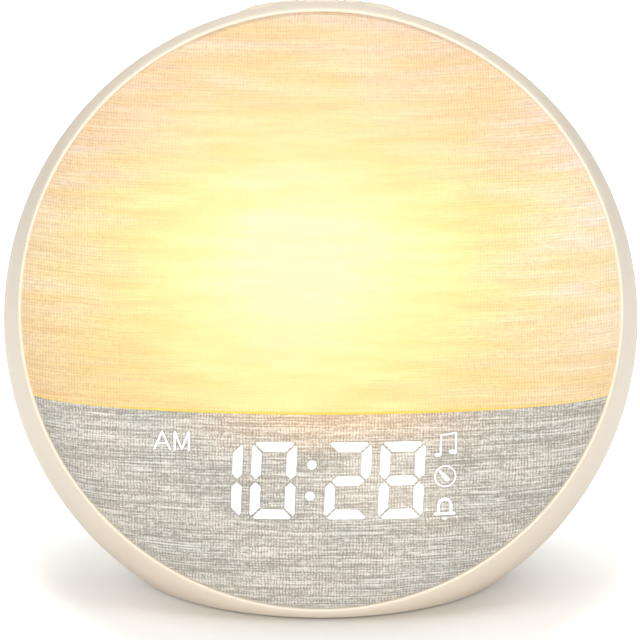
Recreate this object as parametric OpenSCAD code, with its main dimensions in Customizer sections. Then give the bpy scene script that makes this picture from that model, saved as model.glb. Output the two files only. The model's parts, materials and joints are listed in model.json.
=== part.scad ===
// Sunrise alarm clock. A round moulded housing leans back on a flat oval foot.
// Its domed cloth front is a lamp above a horizontal divider and a clock display
// below it. Five sprung keys stand in a raised pad on top, and a speaker and a
// power inlet face the rear. Millimetres, +Z up, front towards -Y, origin at the
// centre of the foot's resting face.

/* [Housing] */
// Largest diameter of the housing
shell_d = 176; // [172:1:186]
// Diameter of the cloth front
fabric_d = 160.5; // [154:0.5:163]
// Width of the trim ring around the cloth
bezel_w = 1.2; // [1:0.1:1.8]
// Height of the trim ring's bead in front of the housing's edge
bezel_bead = 1; // [0.8:0.1:1.6]
// From the cloth's edge back to the housing's widest point
flare_depth = 28; // [25:0.5:34]
// Bulge of the flared rim, where 1 is a straight cone
flare_curve = 1.68; // [1.3:0.02:2.2]
// From the widest point back to the rear face
rear_depth = 37; // [34:0.5:46]
// Diameter of the flat rear face
back_d = 100; // [98:1:116]
// Angle by which the front leans back from upright
tilt = 18.5; // [17:0.5:22]
// Wall thickness of the front and rear shells
wall = 2.4; // [2:0.1:3]
// Gap that shows where the front and rear shells meet
seam_gap = 0.4; // [0.2:0.1:0.8]
// Length of the tongue that centres the shells on each other
tongue_l = 2; // [1.2:0.1:3]

/* [Base] */
// Height of the trim ring's lowest point above the table
lip_clear = 3.05; // [2.6:0.05:5]
// Height of the shells' flat underside above the table
base_gap = 0.4; // [0.3:0.1:1]
// Thickness of the shells' flat floor
floor_wall = 2.8; // [2.4:0.1:3.4]
// Distance by which the cloth's centre stands ahead of the foot's centre
rim_ahead = 7; // [5:0.5:9]
// Width of the rubber foot
foot_w = 84; // [60:1:90]
// Length of the rubber foot from front to back
foot_l = 52; // [36:1:56]
// Depth to which the foot sinks into the underside
foot_inset = 1.4; // [0.8:0.1:1.6]
// Width of the groove that runs round under the foot
foot_groove = 1.6; // [1:0.1:3]

/* [Front dome] */
// Height of the cloth's crown in front of its edge
dome_rise = 19.7; // [16:0.1:22]
// Roundness of the dome's edge, where 1 meets the ring at a right angle
dome_round = 1.03; // [1.01:0.01:1.2]
// Thickness of the cloth
cloth_t = 0.8; // [0.5:0.1:1.2]
// Thickness of the moulded domes under the cloth
dome_wall = 2; // [1.5:0.1:3]
// Depth of the ring-shaped seat that takes the dome's edge
seat_depth = 5; // [4:0.5:6]
// Thickness of the ledge behind the seat
ledge_t = 2.5; // [2:0.1:3.5]
// Inner diameter of the ledge
ledge_d = 150; // [146:1:151]
// Height of the lamp's divider above the cloth's lower edge
lower_h = 53.6; // [50:0.1:58]
// Thickness of the divider
shelf_t = 1.6; // [1.2:0.1:2.4]

/* [Lamp] */
// Thickness of the reflector's wall
reflector_t = 1.5; // [1.2:0.1:2]
// Diameter of the reflector's flat floor
reflector_floor_d = 116; // [110:1:124]
// Diameter of the lamp's circuit board before its lower side is cut straight
led_board_d = 104; // [98:1:108]
// Side of one lamp diode
led_size = 5; // [3:0.5:6]
// Height of one lamp diode
led_h = 1.6; // [0.8:0.1:2.5]
// Distance between the rings of lamp diodes
led_pitch = 14; // [12:0.5:15]

/* [Display] */
// Offset of the time's centre to the left of the clock's centre
display_left = 2.5; // [0:0.5:5]
// Distance up the front from the cloth's lower edge to the display's centre
display_up = 33.55; // [31:0.05:34.3]
// Angle by which the display leans forward from the front's own plane
display_lean = 13; // [8:0.5:16]
// Height of one digit
digit_h = 20.9; // [16:0.1:22]
// Width of one digit
digit_w = 12.1; // [9:0.1:12.6]
// Gap between the two digits of a pair
digit_space = 2; // [1.5:0.1:2.5]
// Distance from the colon's centre to the nearest digit's edge
colon_space = 3.75; // [3.35:0.05:4.35]
// Thickness of one segment
segment_t = 2.7; // [1.8:0.1:3]
// Slant of the digits
digit_slant = 2.5; // [0:0.5:6]
// Diameter of a colon dot
colon_d = 2.6; // [1.6:0.1:3.2]
// Width of the display hood
hood_w = 86; // [86:0.5:92]
// Height of the display hood
hood_h = 27; // [26:0.5:28]
// Distance of the hood's centre to the left of the clock's centre
hood_left = 4; // [3.5:0.5:5]
// Depth from the cloth to the display's circuit board
mask_t = 8; // [7:0.5:10]
// Wall thickness of the display hood
hood_wall = 1.8; // [1.4:0.1:2.4]

/* [Top keys] */
// Width of the raised key pad
pad_w = 47; // [46:0.5:52]
// Depth of the raised key pad from front to back
pad_d = 28; // [24:0.5:32]
// Distance of the pad's middle behind the cloth's edge
pad_back = 27; // [26:0.5:29]
// Height of the pad above the housing
pad_rise = 0.7; // [0.5:0.1:1.5]
// Width of the pad's sloping edge
pad_bevel = 3; // [2:0.1:4]
// Height of the keys above the pad
key_rise = 0.3; // [0.2:0.1:1]
// Width of the middle key
key_main_w = 10; // [9:0.1:10.6]
// Width of each small key
key_side_w = 5.6; // [4.8:0.1:5.8]
// Distance between the two small keys of a pair
key_side_pitch = 6.8; // [6.6:0.1:7]
// Distance from the middle key to the nearest small key
key_inner_pitch = 9; // [8.8:0.1:9.4]
// Depth of the keys from front to back
key_d = 14; // [11:0.5:16]
// Clearance around each key
key_gap = 0.3; // [0.2:0.05:0.4]
// Travel of each key
key_travel = 0.4; // [0.25:0.05:0.6]
// Side of one key switch
switch_w = 6; // [5:0.1:6.2]
// Height of one key switch
switch_h = 3.5; // [3:0.1:4.5]
// Depth of the switches' tops below the housing's outside
switch_drop = 10.6; // [10.5:0.1:11.5]

/* [Electronics] */
// Thickness of the circuit boards
board_t = 1.6; // [1:0.1:2]
// Width of the main circuit board
main_w = 56; // [50:1:60]
// Height of the main circuit board
main_h = 60; // [54:1:70]
// Thickness of the chassis plate
chassis_t = 2.5; // [2:0.1:3.5]
// Height of the posts between the chassis and the main board
standoff_h = 6; // [4:0.5:10]
// Diameter of the backup cell
cell_d = 20; // [12:0.5:20]
// Thickness of the backup cell
cell_t = 3.2; // [1.6:0.1:3.2]
// Width of the power inlet's metal shell
usb_w = 8.9; // [8:0.1:9.2]
// Height of the power inlet's metal shell
usb_h = 3.2; // [2.8:0.1:3.3]
// Distance of the power inlet below the middle of the rear face
usb_drop = 38; // [37:0.5:39]

/* [Speaker] */
// Diameter of the speaker's grille
grille_d = 50; // [48:0.5:51]
// Diameter of one grille hole
grille_hole = 2; // [1:0.1:2.6]
// Distance between the grille's holes
grille_pitch = 4.1; // [3.6:0.1:4.2]
// Diameter of the speaker's mounting flange
speaker_d = 65; // [63:0.5:66]
// Depth of the speaker behind its flange
speaker_depth = 22; // [19:0.5:24]
// Distance of the speaker above the middle of the rear face
speaker_up = 8; // [6:0.5:9]
// Travel of the speaker's cone to each side
cone_travel = 0.8; // [0.4:0.1:1]

/* [Screws] */
// Shank diameter of the housing screws
screw_d = 2.9; // [2.5:0.1:3.2]
// Head diameter of the housing screws
screw_head_d = 5.6; // [5:0.1:6]
// Sideways distance of the housing screws from the middle
screw_x = 36; // [35:0.5:37]
// Distance of the housing screws above and below the middle
screw_u = 26; // [25:0.5:27]
// Outer diameter of the posts that the housing screws enter
post_d = 7.2; // [6.6:0.1:8]

/* [Hidden] */
$fn = 96;
fit = 0.1;
far = 300;

// Radii and depths of the housing. Depths run back from the plane of the cloth's edge.
shell_r = shell_d / 2;
fabric_r = fabric_d / 2;
lip_r = fabric_r + bezel_w;
back_r = back_d / 2;
back_depth = flare_depth + rear_depth;
rim_h = lip_r * cos(tilt) + lip_clear;
floor_top = base_gap + floor_wall;
bezel_skirt = bezel_w / 2;
seat_r = fabric_r + fit + bezel_skirt;
ledge_r = ledge_d / 2;
ledge_back = seat_depth + ledge_t;
split_z = rim_h - fabric_r * cos(tilt) + lower_h;

function flare_r(depth) =
    lip_r + (shell_r - lip_r) * (1 - pow(max(0, 1 - depth / flare_depth), flare_curve));
function tail_r(depth) =
    back_r + (shell_r - back_r) * sqrt(max(0, 1 - pow((depth - flare_depth) / rear_depth, 2)));
function shell_r_at(depth) = depth < flare_depth ? flare_r(depth) : tail_r(depth);

// Outline points as [radius, height along the axis]
function flare_pts(from, to, inset, n = 14) =
    [for (i = [0 : n]) let (d = from + (to - from) * i / n) [flare_r(d) - inset, -d]];
function tail_pts(inset, n = 14) =
    [for (i = [0 : n]) let (s = 90 * i / n)
        [back_r + (shell_r - inset - back_r) * cos(s), -flare_depth - (rear_depth - inset) * sin(s)]];

// The dome is part of an ellipse. Inner surfaces use the same rule with an inset.
dome_foot = sqrt(1 - 1 / pow(dome_round, 2));
function dome_a(r, inset) =
    (dome_rise - inset) * (sqrt(1 - pow(r / dome_round / (fabric_r - inset), 2)) - dome_foot)
    / (1 - dome_foot);
function dome_pts(inset, n = 18) =
    [for (i = [0 : n]) let (r = (fabric_r - inset) * cos(90 * i / n)) [r, dome_a(r, inset)]];

// Rounded rectangle and oval, as points
function corner_pts(x, y, r, from) =
    [for (i = [0 : 6]) [x + r * cos(from + 15 * i), y + r * sin(from + 15 * i)]];
function rrect(w, h, r) = concat(
    corner_pts(w / 2 - r, h / 2 - r, r, 0), corner_pts(r - w / 2, h / 2 - r, r, 90),
    corner_pts(r - w / 2, r - h / 2, r, 180), corner_pts(w / 2 - r, r - h / 2, r, 270));
function oval(w, l, n = 72) =
    [for (i = [0 : n - 1]) [w / 2 * cos(360 * i / n), l / 2 * sin(360 * i / n)]];

// Places children, drawn with x to the right, y up the front and z out of it, on the
// tilted axis of the housing
module on_axis() translate([0, -rim_ahead, rim_h]) rotate([90 - tilt, 0, 0]) children();
// Keeps what lies above or below a level height
module above(z) intersection() {
    children();
    translate([-far, -far, z]) cube(2 * far);
}
module below(z) intersection() {
    children();
    translate([-far, -far, z - 2 * far]) cube(2 * far);
}
// A disc or tube between two depths behind the cloth's edge
module disc(r, from, to) translate([0, 0, -to]) cylinder(r = r, h = to - from);
module tube(r, bore, from, to) difference() {
    disc(r, from, to);
    disc(bore, from - 1, to + 1);
}
// A prism whose outline has x and depth, and which runs up the front from u0 to u1
module up_prism(points, u0, u1)
    translate([0, u0, 0]) rotate([-90, 0, 0]) linear_extrude(u1 - u0) polygon(points);
// A prism seen from the front, between two depths
module front_prism(points, from, to)
    translate([0, 0, -to]) linear_extrude(to - from) polygon(points);
// A box centred on x, y at the front or rear of a board
module block(x, y, w, h, from, to)
    translate([x - w / 2, y - h / 2, -to]) cube([w, h, to - from]);

// ---- Housing ----
module front_outer()
    rotate_extrude() polygon(concat([[0, -bezel_bead]],
        flare_pts(bezel_bead, flare_depth, 0), [[0, -flare_depth]]));
module front_cavity()
    rotate_extrude() polygon(concat(
        [[0, 1], [seat_r, 1], [seat_r, -seat_depth], [ledge_r, -seat_depth], [ledge_r, -ledge_back]],
        flare_pts(ledge_back, flare_depth, wall), [[shell_r - wall, -flare_depth - 1],
        [0, -flare_depth - 1]]));
module rear_outer()
    rotate_extrude() polygon(concat(
        [[0, -flare_depth - seam_gap], [shell_r, -flare_depth - seam_gap]],
        [for (p = tail_pts(0)) if (p[1] < -flare_depth - seam_gap - 0.5) p], [[0, -back_depth]]));
module rear_cavity()
    rotate_extrude() polygon(concat([[0, 1 - flare_depth], [shell_r - wall, 1 - flare_depth]],
        tail_pts(wall), [[0, wall - back_depth]]));

function grown(w, d, r, x = 0) = [for (p = rrect(w, d, r)) [p[0] + x, p[1] + pad_back]];
pad_corner = 8;
module pad_opening()
    up_prism(grown(pad_w + 2 * fit, pad_d + 2 * fit, pad_corner + fit), shell_r / 2, far);
module foot_recess() translate([0, 0, -1])
    linear_extrude(base_gap + foot_inset + 1) polygon(oval(foot_w + 2 * fit, foot_l + 2 * fit));

chassis_r = flare_r(ledge_back) - wall - 0.5;
chassis_edge = 0.9;
small_head_d = 4.4;
small_head_h = 1.6;
chassis_screw_r = chassis_r - small_head_d / 2 - chassis_edge;
chassis_screw_at = [30, 90, 150, 196, 344];
chassis_screw_d = 2.4;
chassis_bite = 1.8;
module at_chassis_screws()
    for (t = chassis_screw_at) rotate(t) translate([chassis_screw_r, 0, 0]) children();

tongue_r = shell_r - wall / 2;
module front_shell() color([0.93, 0.88, 0.80]) difference() {
    union() {
        above(base_gap) on_axis() front_outer();
        above(floor_top) on_axis()
            tube(tongue_r - fit, shell_r - wall, flare_depth - fit, flare_depth + tongue_l);
    }
    above(floor_top) on_axis() front_cavity();
    on_axis() pad_opening();
    foot_recess();
    on_axis() at_chassis_screws()
        disc(chassis_screw_d / 2, ledge_back - chassis_bite, ledge_back + 1);
}

// Rear screw seats: a pad on the inside of the rear face and a sunk head outside
seat_pad = 2.4;
post_bite = 8.5;
screw_head_h = 1.9;
head_sink = wall;
post_end = back_depth - head_sink - seat_pad;
module at_posts()
    for (sx = [-1, 1], su = [-1, 1]) translate([sx * screw_x, su * screw_u, 0]) children();
usb_hole_gap = 0.3;
usb_r = usb_h / 2 - 0.05;
usb_depth = 7.3;
inlet_w = 22;
inlet_l = 18;
inlet_top = -usb_drop - usb_h / 2;
rail_w = 4;
rail_h = 4.5;
inlet_screw_d = 2;
speaker_r = speaker_d / 2;
grille_r = grille_d / 2;
grille_t = wall / 2;
grille_ledge = 1.6;
gasket_t = 1;
flange_back = back_depth - wall - gasket_t;
speaker_screw_r = speaker_r - 3;
speaker_screw_d = 2.2;
speaker_bite = 2.2;
function lowered(points) = [for (p = points) [p[0], p[1] - usb_drop]];
module at_speaker() translate([0, speaker_up, 0]) children();
module at_speaker_screws()
    at_speaker() for (t = [45 : 90 : 315]) rotate(t) translate([speaker_screw_r, 0, 0]) children();

module rear_shell() color([0.92, 0.87, 0.79]) difference() {
    union() {
        difference() {
            above(base_gap) on_axis() rear_outer();
            above(floor_top) on_axis() rear_cavity();
            above(floor_top - fit) on_axis() disc(tongue_r, flare_depth - 1, flare_depth + tongue_l + fit);
        }
        on_axis() {
            at_posts() disc(post_d / 2, post_end, back_depth - wall);
            at_speaker() tube(speaker_r, speaker_screw_r - 2.5, flange_back, back_depth - wall);
            for (s = [-1, 1])
                block(s * (inlet_w - rail_w) / 2, inlet_top - board_t - rail_h / 2, rail_w, rail_h,
                    back_depth - wall - inlet_l, back_depth - wall);
        }
    }
    on_axis() {
        pad_opening();
        at_posts() {
            disc(screw_d / 2 + 0.25, post_end - 1, back_depth + 1);
            disc(screw_head_d / 2 + 0.3, back_depth - head_sink, back_depth + 1);
        }
        at_speaker() disc(grille_r, back_depth - grille_t, back_depth + 1);
        at_speaker() disc(grille_r - grille_ledge, flange_back - 1, back_depth + 1);
        at_speaker_screws()
            disc(speaker_screw_d / 2, flange_back - 1, flange_back + speaker_bite);
        front_prism(lowered(rrect(usb_w + 2 * usb_hole_gap, usb_h + 2 * usb_hole_gap,
            usb_r + usb_hole_gap)), back_depth - wall - 1, back_depth + 1);
        at_inlet_screws() disc(inlet_screw_d / 2, 0, rail_h - 0.8);
    }
    foot_recess();
}

// Thin trim ring with a rounded bead, pressed into the front shell around the cloth
module front_bezel() color([0.98, 0.93, 0.83]) {
    bead_r = (bezel_w - fit) / 2;
    on_axis() rotate_extrude() polygon(concat([[fabric_r + fit, -bezel_bead]],
        [for (i = [12 : -1 : 0]) [lip_r - bead_r + bead_r * cos(15 * i), bead_r * (sin(15 * i) - 1)]],
        [[flare_r(bezel_bead), -bezel_bead]]));
    above(floor_top) on_axis()
        tube(seat_r, fabric_r + fit, bezel_bead, seat_depth);
}

groove_in = 4;
groove_deep = 0.5;
module base_foot() color([0.25, 0.24, 0.23]) difference() {
    linear_extrude(base_gap + foot_inset) polygon(oval(foot_w, foot_l));
    translate([0, 0, -1]) linear_extrude(1 + groove_deep) difference() {
        polygon(oval(foot_w - 2 * groove_in, foot_l - 2 * groove_in));
        polygon(oval(foot_w - 2 * groove_in - 2 * foot_groove, foot_l - 2 * groove_in - 2 * foot_groove));
    }
}

// ---- Front dome ----
module dome_solid(inset, depth)
    rotate_extrude() polygon(concat([[0, -depth], [fabric_r - inset, -depth]], dome_pts(inset)));
module dome_skin(inset, t, depth) difference() {
    dome_solid(inset, depth);
    rotate_extrude() polygon(concat([[0, -depth - 1], [fabric_r - inset - t, -depth - 1]],
        dome_pts(inset + t)));
}

// Everything between the cloth and the chassis plate
module front_space() {
    dome_solid(cloth_t, seat_depth);
    disc(ledge_r - fit, seat_depth, ledge_back);
}

module fabric_cover() color([0.93, 0.86, 0.72])
    above(floor_top) on_axis() dome_skin(0, cloth_t, seat_depth);

module lamp_diffuser() color([0.97, 0.93, 0.80])
    above(split_z) on_axis() dome_skin(cloth_t, dome_wall, seat_depth);

// The display looks out through the lower dome
display_drop = fabric_r - display_up;
display_a = dome_a(display_drop, cloth_t);
module on_display()
    on_axis() translate([0, -display_drop, display_a]) rotate([display_lean, 0, 0]) children();
module display_prism(grow, from, to) translate([-hood_left, 0, -to])
    linear_extrude(to - from) polygon(rrect(hood_w + 2 * grow, hood_h + 2 * grow, 3 + grow));

module lower_dome() color([0.70, 0.68, 0.64]) difference() {
    above(floor_top) below(split_z - shelf_t) on_axis() dome_skin(cloth_t, dome_wall, seat_depth);
    on_display() display_prism(fit, -20, far / 4);
}

// Horizontal wall that keeps the lamp's light out of the display half
module divider_shelf() color([0.95, 0.95, 0.93])
    above(split_z - shelf_t) below(split_z) on_axis() front_space();

// ---- Lamp ----
reflector_r = reflector_floor_d / 2;
reflector_top_r = fabric_r - cloth_t - dome_wall - 0.6;
reflector_top = 0.5;
module reflector_bowl() color([0.96, 0.96, 0.95])
    above(split_z) on_axis() rotate_extrude() polygon([[0, -ledge_back], [reflector_r, -ledge_back],
        [reflector_top_r, -reflector_top], [reflector_top_r - reflector_t, -reflector_top],
        [reflector_r - reflector_t / 2, reflector_t - ledge_back], [0, reflector_t - ledge_back]]);

led_board_back = ledge_back - reflector_t;
led_board_front = led_board_back - board_t;
led_board_z = split_z + 5;
module led_board() color([0.93, 0.94, 0.95])
    above(led_board_z) on_axis() disc(led_board_d / 2, led_board_front, led_board_back);

// Rings of diodes, kept where they sit wholly on the board
led_edge = led_size;
led_lowest = (led_board_z - rim_h) / cos(tilt) + led_edge;
module lamp_leds() color([0.98, 0.90, 0.55]) on_axis()
    for (ring = [0 : floor((led_board_d / 2 - led_edge) / led_pitch)])
        for (i = [0 : max(1, 6 * ring) - 1])
            let (t = 360 * i / max(1, 6 * ring), r = ring * led_pitch)
                if (r * sin(t) > led_lowest)
                    block(r * cos(t), r * sin(t), led_size, led_size,
                        led_board_front - led_h, led_board_front);

// ---- Chassis ----
chassis_back = ledge_back + chassis_t;
board_front = chassis_back + standoff_h;
board_back = board_front + board_t;
standoff_edge = 4;
standoff_r = 3;
standoff_x = main_w / 2 - standoff_edge;
standoff_u = main_h / 2 - standoff_edge;
main_up = 2;
board_screw_d = 2.4;
// Width, height and place up the front of each cable slot in the chassis
cable_slots = [[20, 8, -main_h / 2 - 10], [12, 6, main_h / 2 + 12]];
slot_corner = 2;
module at_standoffs()
    for (sx = [-1, 1], su = [-1, 1]) translate([sx * standoff_x, main_up + su * standoff_u, 0]) children();
module chassis_plate() color([0.30, 0.31, 0.32]) difference() {
    union() {
        above(floor_top + fit) on_axis() disc(chassis_r, ledge_back, chassis_back);
        on_axis() at_posts() disc(post_d / 2, chassis_back, post_end);
        on_axis() at_standoffs() disc(standoff_r, chassis_back, board_front);
    }
    on_axis() {
        at_posts() disc(screw_d / 2, post_end - post_bite - 0.5, post_end + 1);
        at_standoffs() disc(board_screw_d / 2, chassis_back, board_front + 1);
        at_chassis_screws() disc(chassis_screw_d / 2 + 0.2, ledge_back - 1, chassis_back + 1);
        for (s = cable_slots)
            front_prism([for (p = rrect(s[0], s[1], slot_corner)) [p[0], p[1] + s[2]]],
                ledge_back - 1, chassis_back + 1);
    }
}

// A pan-head screw, head towards the rear, whose shank starts at the given depth
module rear_screw(d, head_d, head_h, length, seat) {
    disc(d / 2, seat - length, seat);
    difference() {
        disc(head_d / 2, seat, seat + head_h);
        for (t = [0, 90]) rotate(t)
            block(0, 0, head_d * 0.6, head_d * 0.16, seat + head_h * 0.4, seat + head_h + 1);
    }
}
board_bite = 4.5;
module chassis_screws() color("silver")
    on_axis() at_chassis_screws() rear_screw(chassis_screw_d, small_head_d, small_head_h,
        chassis_t + chassis_bite, chassis_back);
module board_screws() color("silver")
    on_axis() at_standoffs() rear_screw(board_screw_d, small_head_d, small_head_h,
        board_t + board_bite, board_back);
module housing_screws() color("dimgray")
    on_axis() at_posts()
        rear_screw(screw_d, screw_head_d, screw_head_h, seat_pad + post_bite, back_depth - head_sink);

// ---- Display ----
function slanted(p) = [p[0] + p[1] * tan(digit_slant), p[1]];
function bar(x, y, l, t, turn) =
    [for (q = [[-l / 2, 0], [t / 2 - l / 2, -t / 2], [l / 2 - t / 2, -t / 2], [l / 2, 0],
        [l / 2 - t / 2, t / 2], [t / 2 - l / 2, t / 2]])
        slanted(turn ? [x - q[1], y + q[0]] : [x + q[0], y + q[1]])];
seg_x = (digit_w - segment_t) / 2;
seg_y = (digit_h - segment_t) / 2;
seg_gap = 0.4;
// Segments a to g of the digit at x
function segment(x, k) = k == 0 ? bar(x, seg_y, 2 * seg_x - seg_gap, segment_t, false)
    : k == 1 ? bar(x + seg_x, seg_y / 2, seg_y - seg_gap, segment_t, true)
    : k == 2 ? bar(x + seg_x, -seg_y / 2, seg_y - seg_gap, segment_t, true)
    : k == 3 ? bar(x, -seg_y, 2 * seg_x - seg_gap, segment_t, false)
    : k == 4 ? bar(x - seg_x, -seg_y / 2, seg_y - seg_gap, segment_t, true)
    : k == 5 ? bar(x - seg_x, seg_y / 2, seg_y - seg_gap, segment_t, true)
    : bar(x, 0, 2 * seg_x - seg_gap, segment_t, false);
digit_pitch = digit_w + digit_space;
colon_pitch = digit_w / 2 + colon_space;
digit_x = [for (s = [-colon_pitch - digit_pitch, -colon_pitch, colon_pitch, colon_pitch + digit_pitch])
    s - display_left];
// The segments that are lit in each digit, for 10:28
lit = [[1, 2], [0, 1, 2, 3, 4, 5], [0, 1, 3, 4, 6], [0, 1, 2, 3, 4, 5, 6]];
function is_lit(digit, k) = len([for (s = lit[digit]) if (s == k) 1]) > 0;

colon_y = [4.2, -4.2];
am_w = 10.4;
am_h = 5.8;
icon_d = 6.8;
am_edge = 1;
icon_edge = 0.8;
am_x = hood_wall + am_edge + am_w / 2 - hood_left - hood_w / 2;
am_y = digit_h / 2 - 0.05;
icon_x = hood_w / 2 - hood_left - hood_wall - icon_edge - icon_d / 2;
icon_pitch = 8.55;
icon_y = [for (k = [1, 0, -1]) 0.6 + k * icon_pitch];
led_clear = 1;
module window_prism(points) translate([0, 0, -mask_t - 1]) linear_extrude(mask_t + 20) polygon(points);
module digit_windows(which) for (d = [0 : 3], k = [0 : 6]) if (which == 2 || (is_lit(d, k) ? 1 : 0) == which)
    window_prism(segment(digit_x[d], k));
module colon_windows() for (y = colon_y)
    translate([y * tan(digit_slant) - display_left, y, -mask_t - 1])
        cylinder(d = colon_d, h = mask_t + 20, $fn = 32);
module am_outline() window_prism([for (p = rrect(am_w, am_h, 1)) [p[0] + am_x, p[1] + am_y]]);
module icon_outlines() for (y = icon_y)
    translate([icon_x, y, -mask_t - 1]) cylinder(d = icon_d, h = mask_t + 20, $fn = 48);

hood_screw_d = 1.8;
hood_bite = 3;
hood_screw_at = [[-display_left, digit_h / 2 - 1], [-display_left, 1 - digit_h / 2],
    [am_x + am_w / 2 - 0.7, 3 - digit_h / 2]];
module at_hood_screws() for (p = hood_screw_at) translate([p[0], p[1], 0]) children();
// Dark hood from the chassis to the cloth, with a light shaft for every segment
module display_hood() color([0.20, 0.20, 0.21]) difference() {
    intersection() {
        below(split_z - shelf_t) on_axis() front_space();
        on_display() display_prism(0, -20, far / 4);
    }
    on_display() {
        display_prism(-hood_wall, mask_t, far / 4 + 1);
        digit_windows(2);
        colon_windows();
        am_outline();
        icon_outlines();
        at_hood_screws() disc(hood_screw_d / 2, mask_t - hood_bite, mask_t + 1);
    }
}
// Clear light guides that fill the shafts up to the cloth
module light_guides() intersection() {
    on_axis() dome_solid(cloth_t, seat_depth);
    on_display() translate([-far, -far, led_clear - mask_t]) cube(2 * far);
    on_display() children();
}
module lit_segments() color([0.98, 0.98, 0.95]) light_guides() digit_windows(1);
module dark_segments() color([0.60, 0.60, 0.58]) light_guides() digit_windows(0);
module colon_dots() color([0.98, 0.98, 0.95]) light_guides() colon_windows();
module am_window() color([0.98, 0.98, 0.95]) light_guides() am_outline();
module icon_windows() color([0.98, 0.98, 0.95]) light_guides() icon_outlines();

module display_board() color([0.10, 0.32, 0.18]) on_display() difference() {
    display_prism(-hood_wall - fit, mask_t, mask_t + board_t);
    at_hood_screws() disc(hood_screw_d / 2 + 0.15, mask_t - 1, mask_t + board_t + 1);
}
module display_screws() color("silver") on_display() at_hood_screws()
    rear_screw(hood_screw_d, 3.4, 1.2, board_t + hood_bite - 0.3, mask_t + board_t);
// One diode under every light guide
function led_spots() = concat(
    [for (x = digit_x, p = [[0, seg_y], [seg_x, seg_y / 2], [seg_x, -seg_y / 2], [0, -seg_y],
        [-seg_x, -seg_y / 2], [-seg_x, seg_y / 2], [0, 0]]) slanted(p) + [x, 0]],
    [for (y = colon_y) slanted([-display_left, y])], [[am_x, am_y]],
    [for (y = icon_y) [icon_x, y]]);
module display_leds() color([0.95, 0.95, 0.85]) on_display()
    for (p = led_spots()) block(p[0], p[1], 1.6, 1.2, mask_t - 0.7, mask_t);

// ---- Main board ----
module main_board() color([0.08, 0.30, 0.17]) on_axis() difference() {
    front_prism([for (p = rrect(main_w, main_h, 2)) [p[0], p[1] + main_up]], board_front, board_back);
    at_standoffs() disc(board_screw_d / 2 + 0.2, board_front - 1, board_back + 1);
}
// Parts on the rear of the main board, each placed from the board's middle
module on_board(x, y, w, h, t) block(x, y + main_up, w, h, board_back, board_back + t);
module main_chips() color([0.12, 0.12, 0.13]) on_axis() {
    on_board(-11, 13, 12, 12, 1.4);
    on_board(9, 18, 14, 10, 2.4);
    on_board(-15, -1, 7, 7, 1.2);
    on_board(-2, 4, 5, 4, 1.1);
    on_board(-21, -13, 4.6, 4.6, 2.2);
}
cap_d = 6.2;
cap_h = 7;
cap_spots = [[20.5, 7.5], [20.5, 15], [-21, 20]];
module main_capacitors() color([0.75, 0.76, 0.78]) on_axis() for (c = cap_spots)
    translate([c[0], c[1] + main_up, 0]) disc(cap_d / 2, board_back, board_back + cap_h);
plug_w = 10;
plug_l = 5;
plug_h = 6;
connector_low = 4.5 - main_h / 2;
connector_spots = [[-8, connector_low], [10, connector_low], [0, main_h / 2 - 3.6]];
module board_connectors() color([0.92, 0.90, 0.84]) on_axis() for (c = connector_spots)
    difference() {
        on_board(c[0], c[1], plug_w, plug_l, plug_h);
        block(c[0], c[1] + main_up, plug_w - 2, plug_l - 2, board_back + 1.2, board_back + plug_h + 1);
    }
cell_x = 10;
cell_y = -9;
holder_wall = 1.6;
holder_floor = 1;
module cell_holder() color([0.15, 0.15, 0.16]) on_axis() translate([cell_x, cell_y + main_up, 0])
    difference() {
        disc(cell_d / 2 + holder_wall, board_back, board_back + holder_floor + cell_t * 0.7);
        disc(cell_d / 2 + fit / 2, board_back + holder_floor, board_back + 2 * cell_t + 2);
    }
module backup_cell() color([0.80, 0.81, 0.82]) on_axis() translate([cell_x, cell_y + main_up, 0])
    disc(cell_d / 2, board_back + holder_floor, board_back + holder_floor + cell_t);

// ---- Power inlet ----
inlet_back = back_depth - wall - fit;
module at_inlet_screws() for (s = [-1, 1])
    translate([s * (inlet_w - rail_w) / 2, inlet_top - board_t, fit - back_depth + wall + inlet_l * 0.6])
        rotate([90, 0, 0]) mirror([0, 0, 1]) children();
module inlet_board() color([0.08, 0.30, 0.17]) on_axis() difference() {
    block(0, inlet_top - board_t / 2, inlet_w, board_t, inlet_back - inlet_l + fit, inlet_back);
    at_inlet_screws() disc(inlet_screw_d / 2 + 0.15, -board_t - 1, 1);
}
module inlet_screws() color("silver") on_axis() at_inlet_screws() {
    disc(inlet_screw_d / 2, -board_t, rail_h - 1.2);
    disc(1.9, -board_t - 1.2, -board_t);
}
usb_mouth = back_depth - 0.6;
module usb_socket() color([0.78, 0.79, 0.80]) on_axis() difference() {
    front_prism(lowered(rrect(usb_w, usb_h, usb_r)), usb_mouth - usb_depth, usb_mouth);
    front_prism(lowered(rrect(usb_w - 0.6, usb_h - 0.6, usb_r - 0.3)),
        usb_mouth - usb_depth + 1, usb_mouth + 1);
}
module usb_tongue() color([0.10, 0.10, 0.11]) on_axis()
    front_prism(lowered(rrect(usb_w - 2.2, 0.7, 0.3)), usb_mouth - usb_depth + 1, usb_mouth - 0.8);

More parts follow.
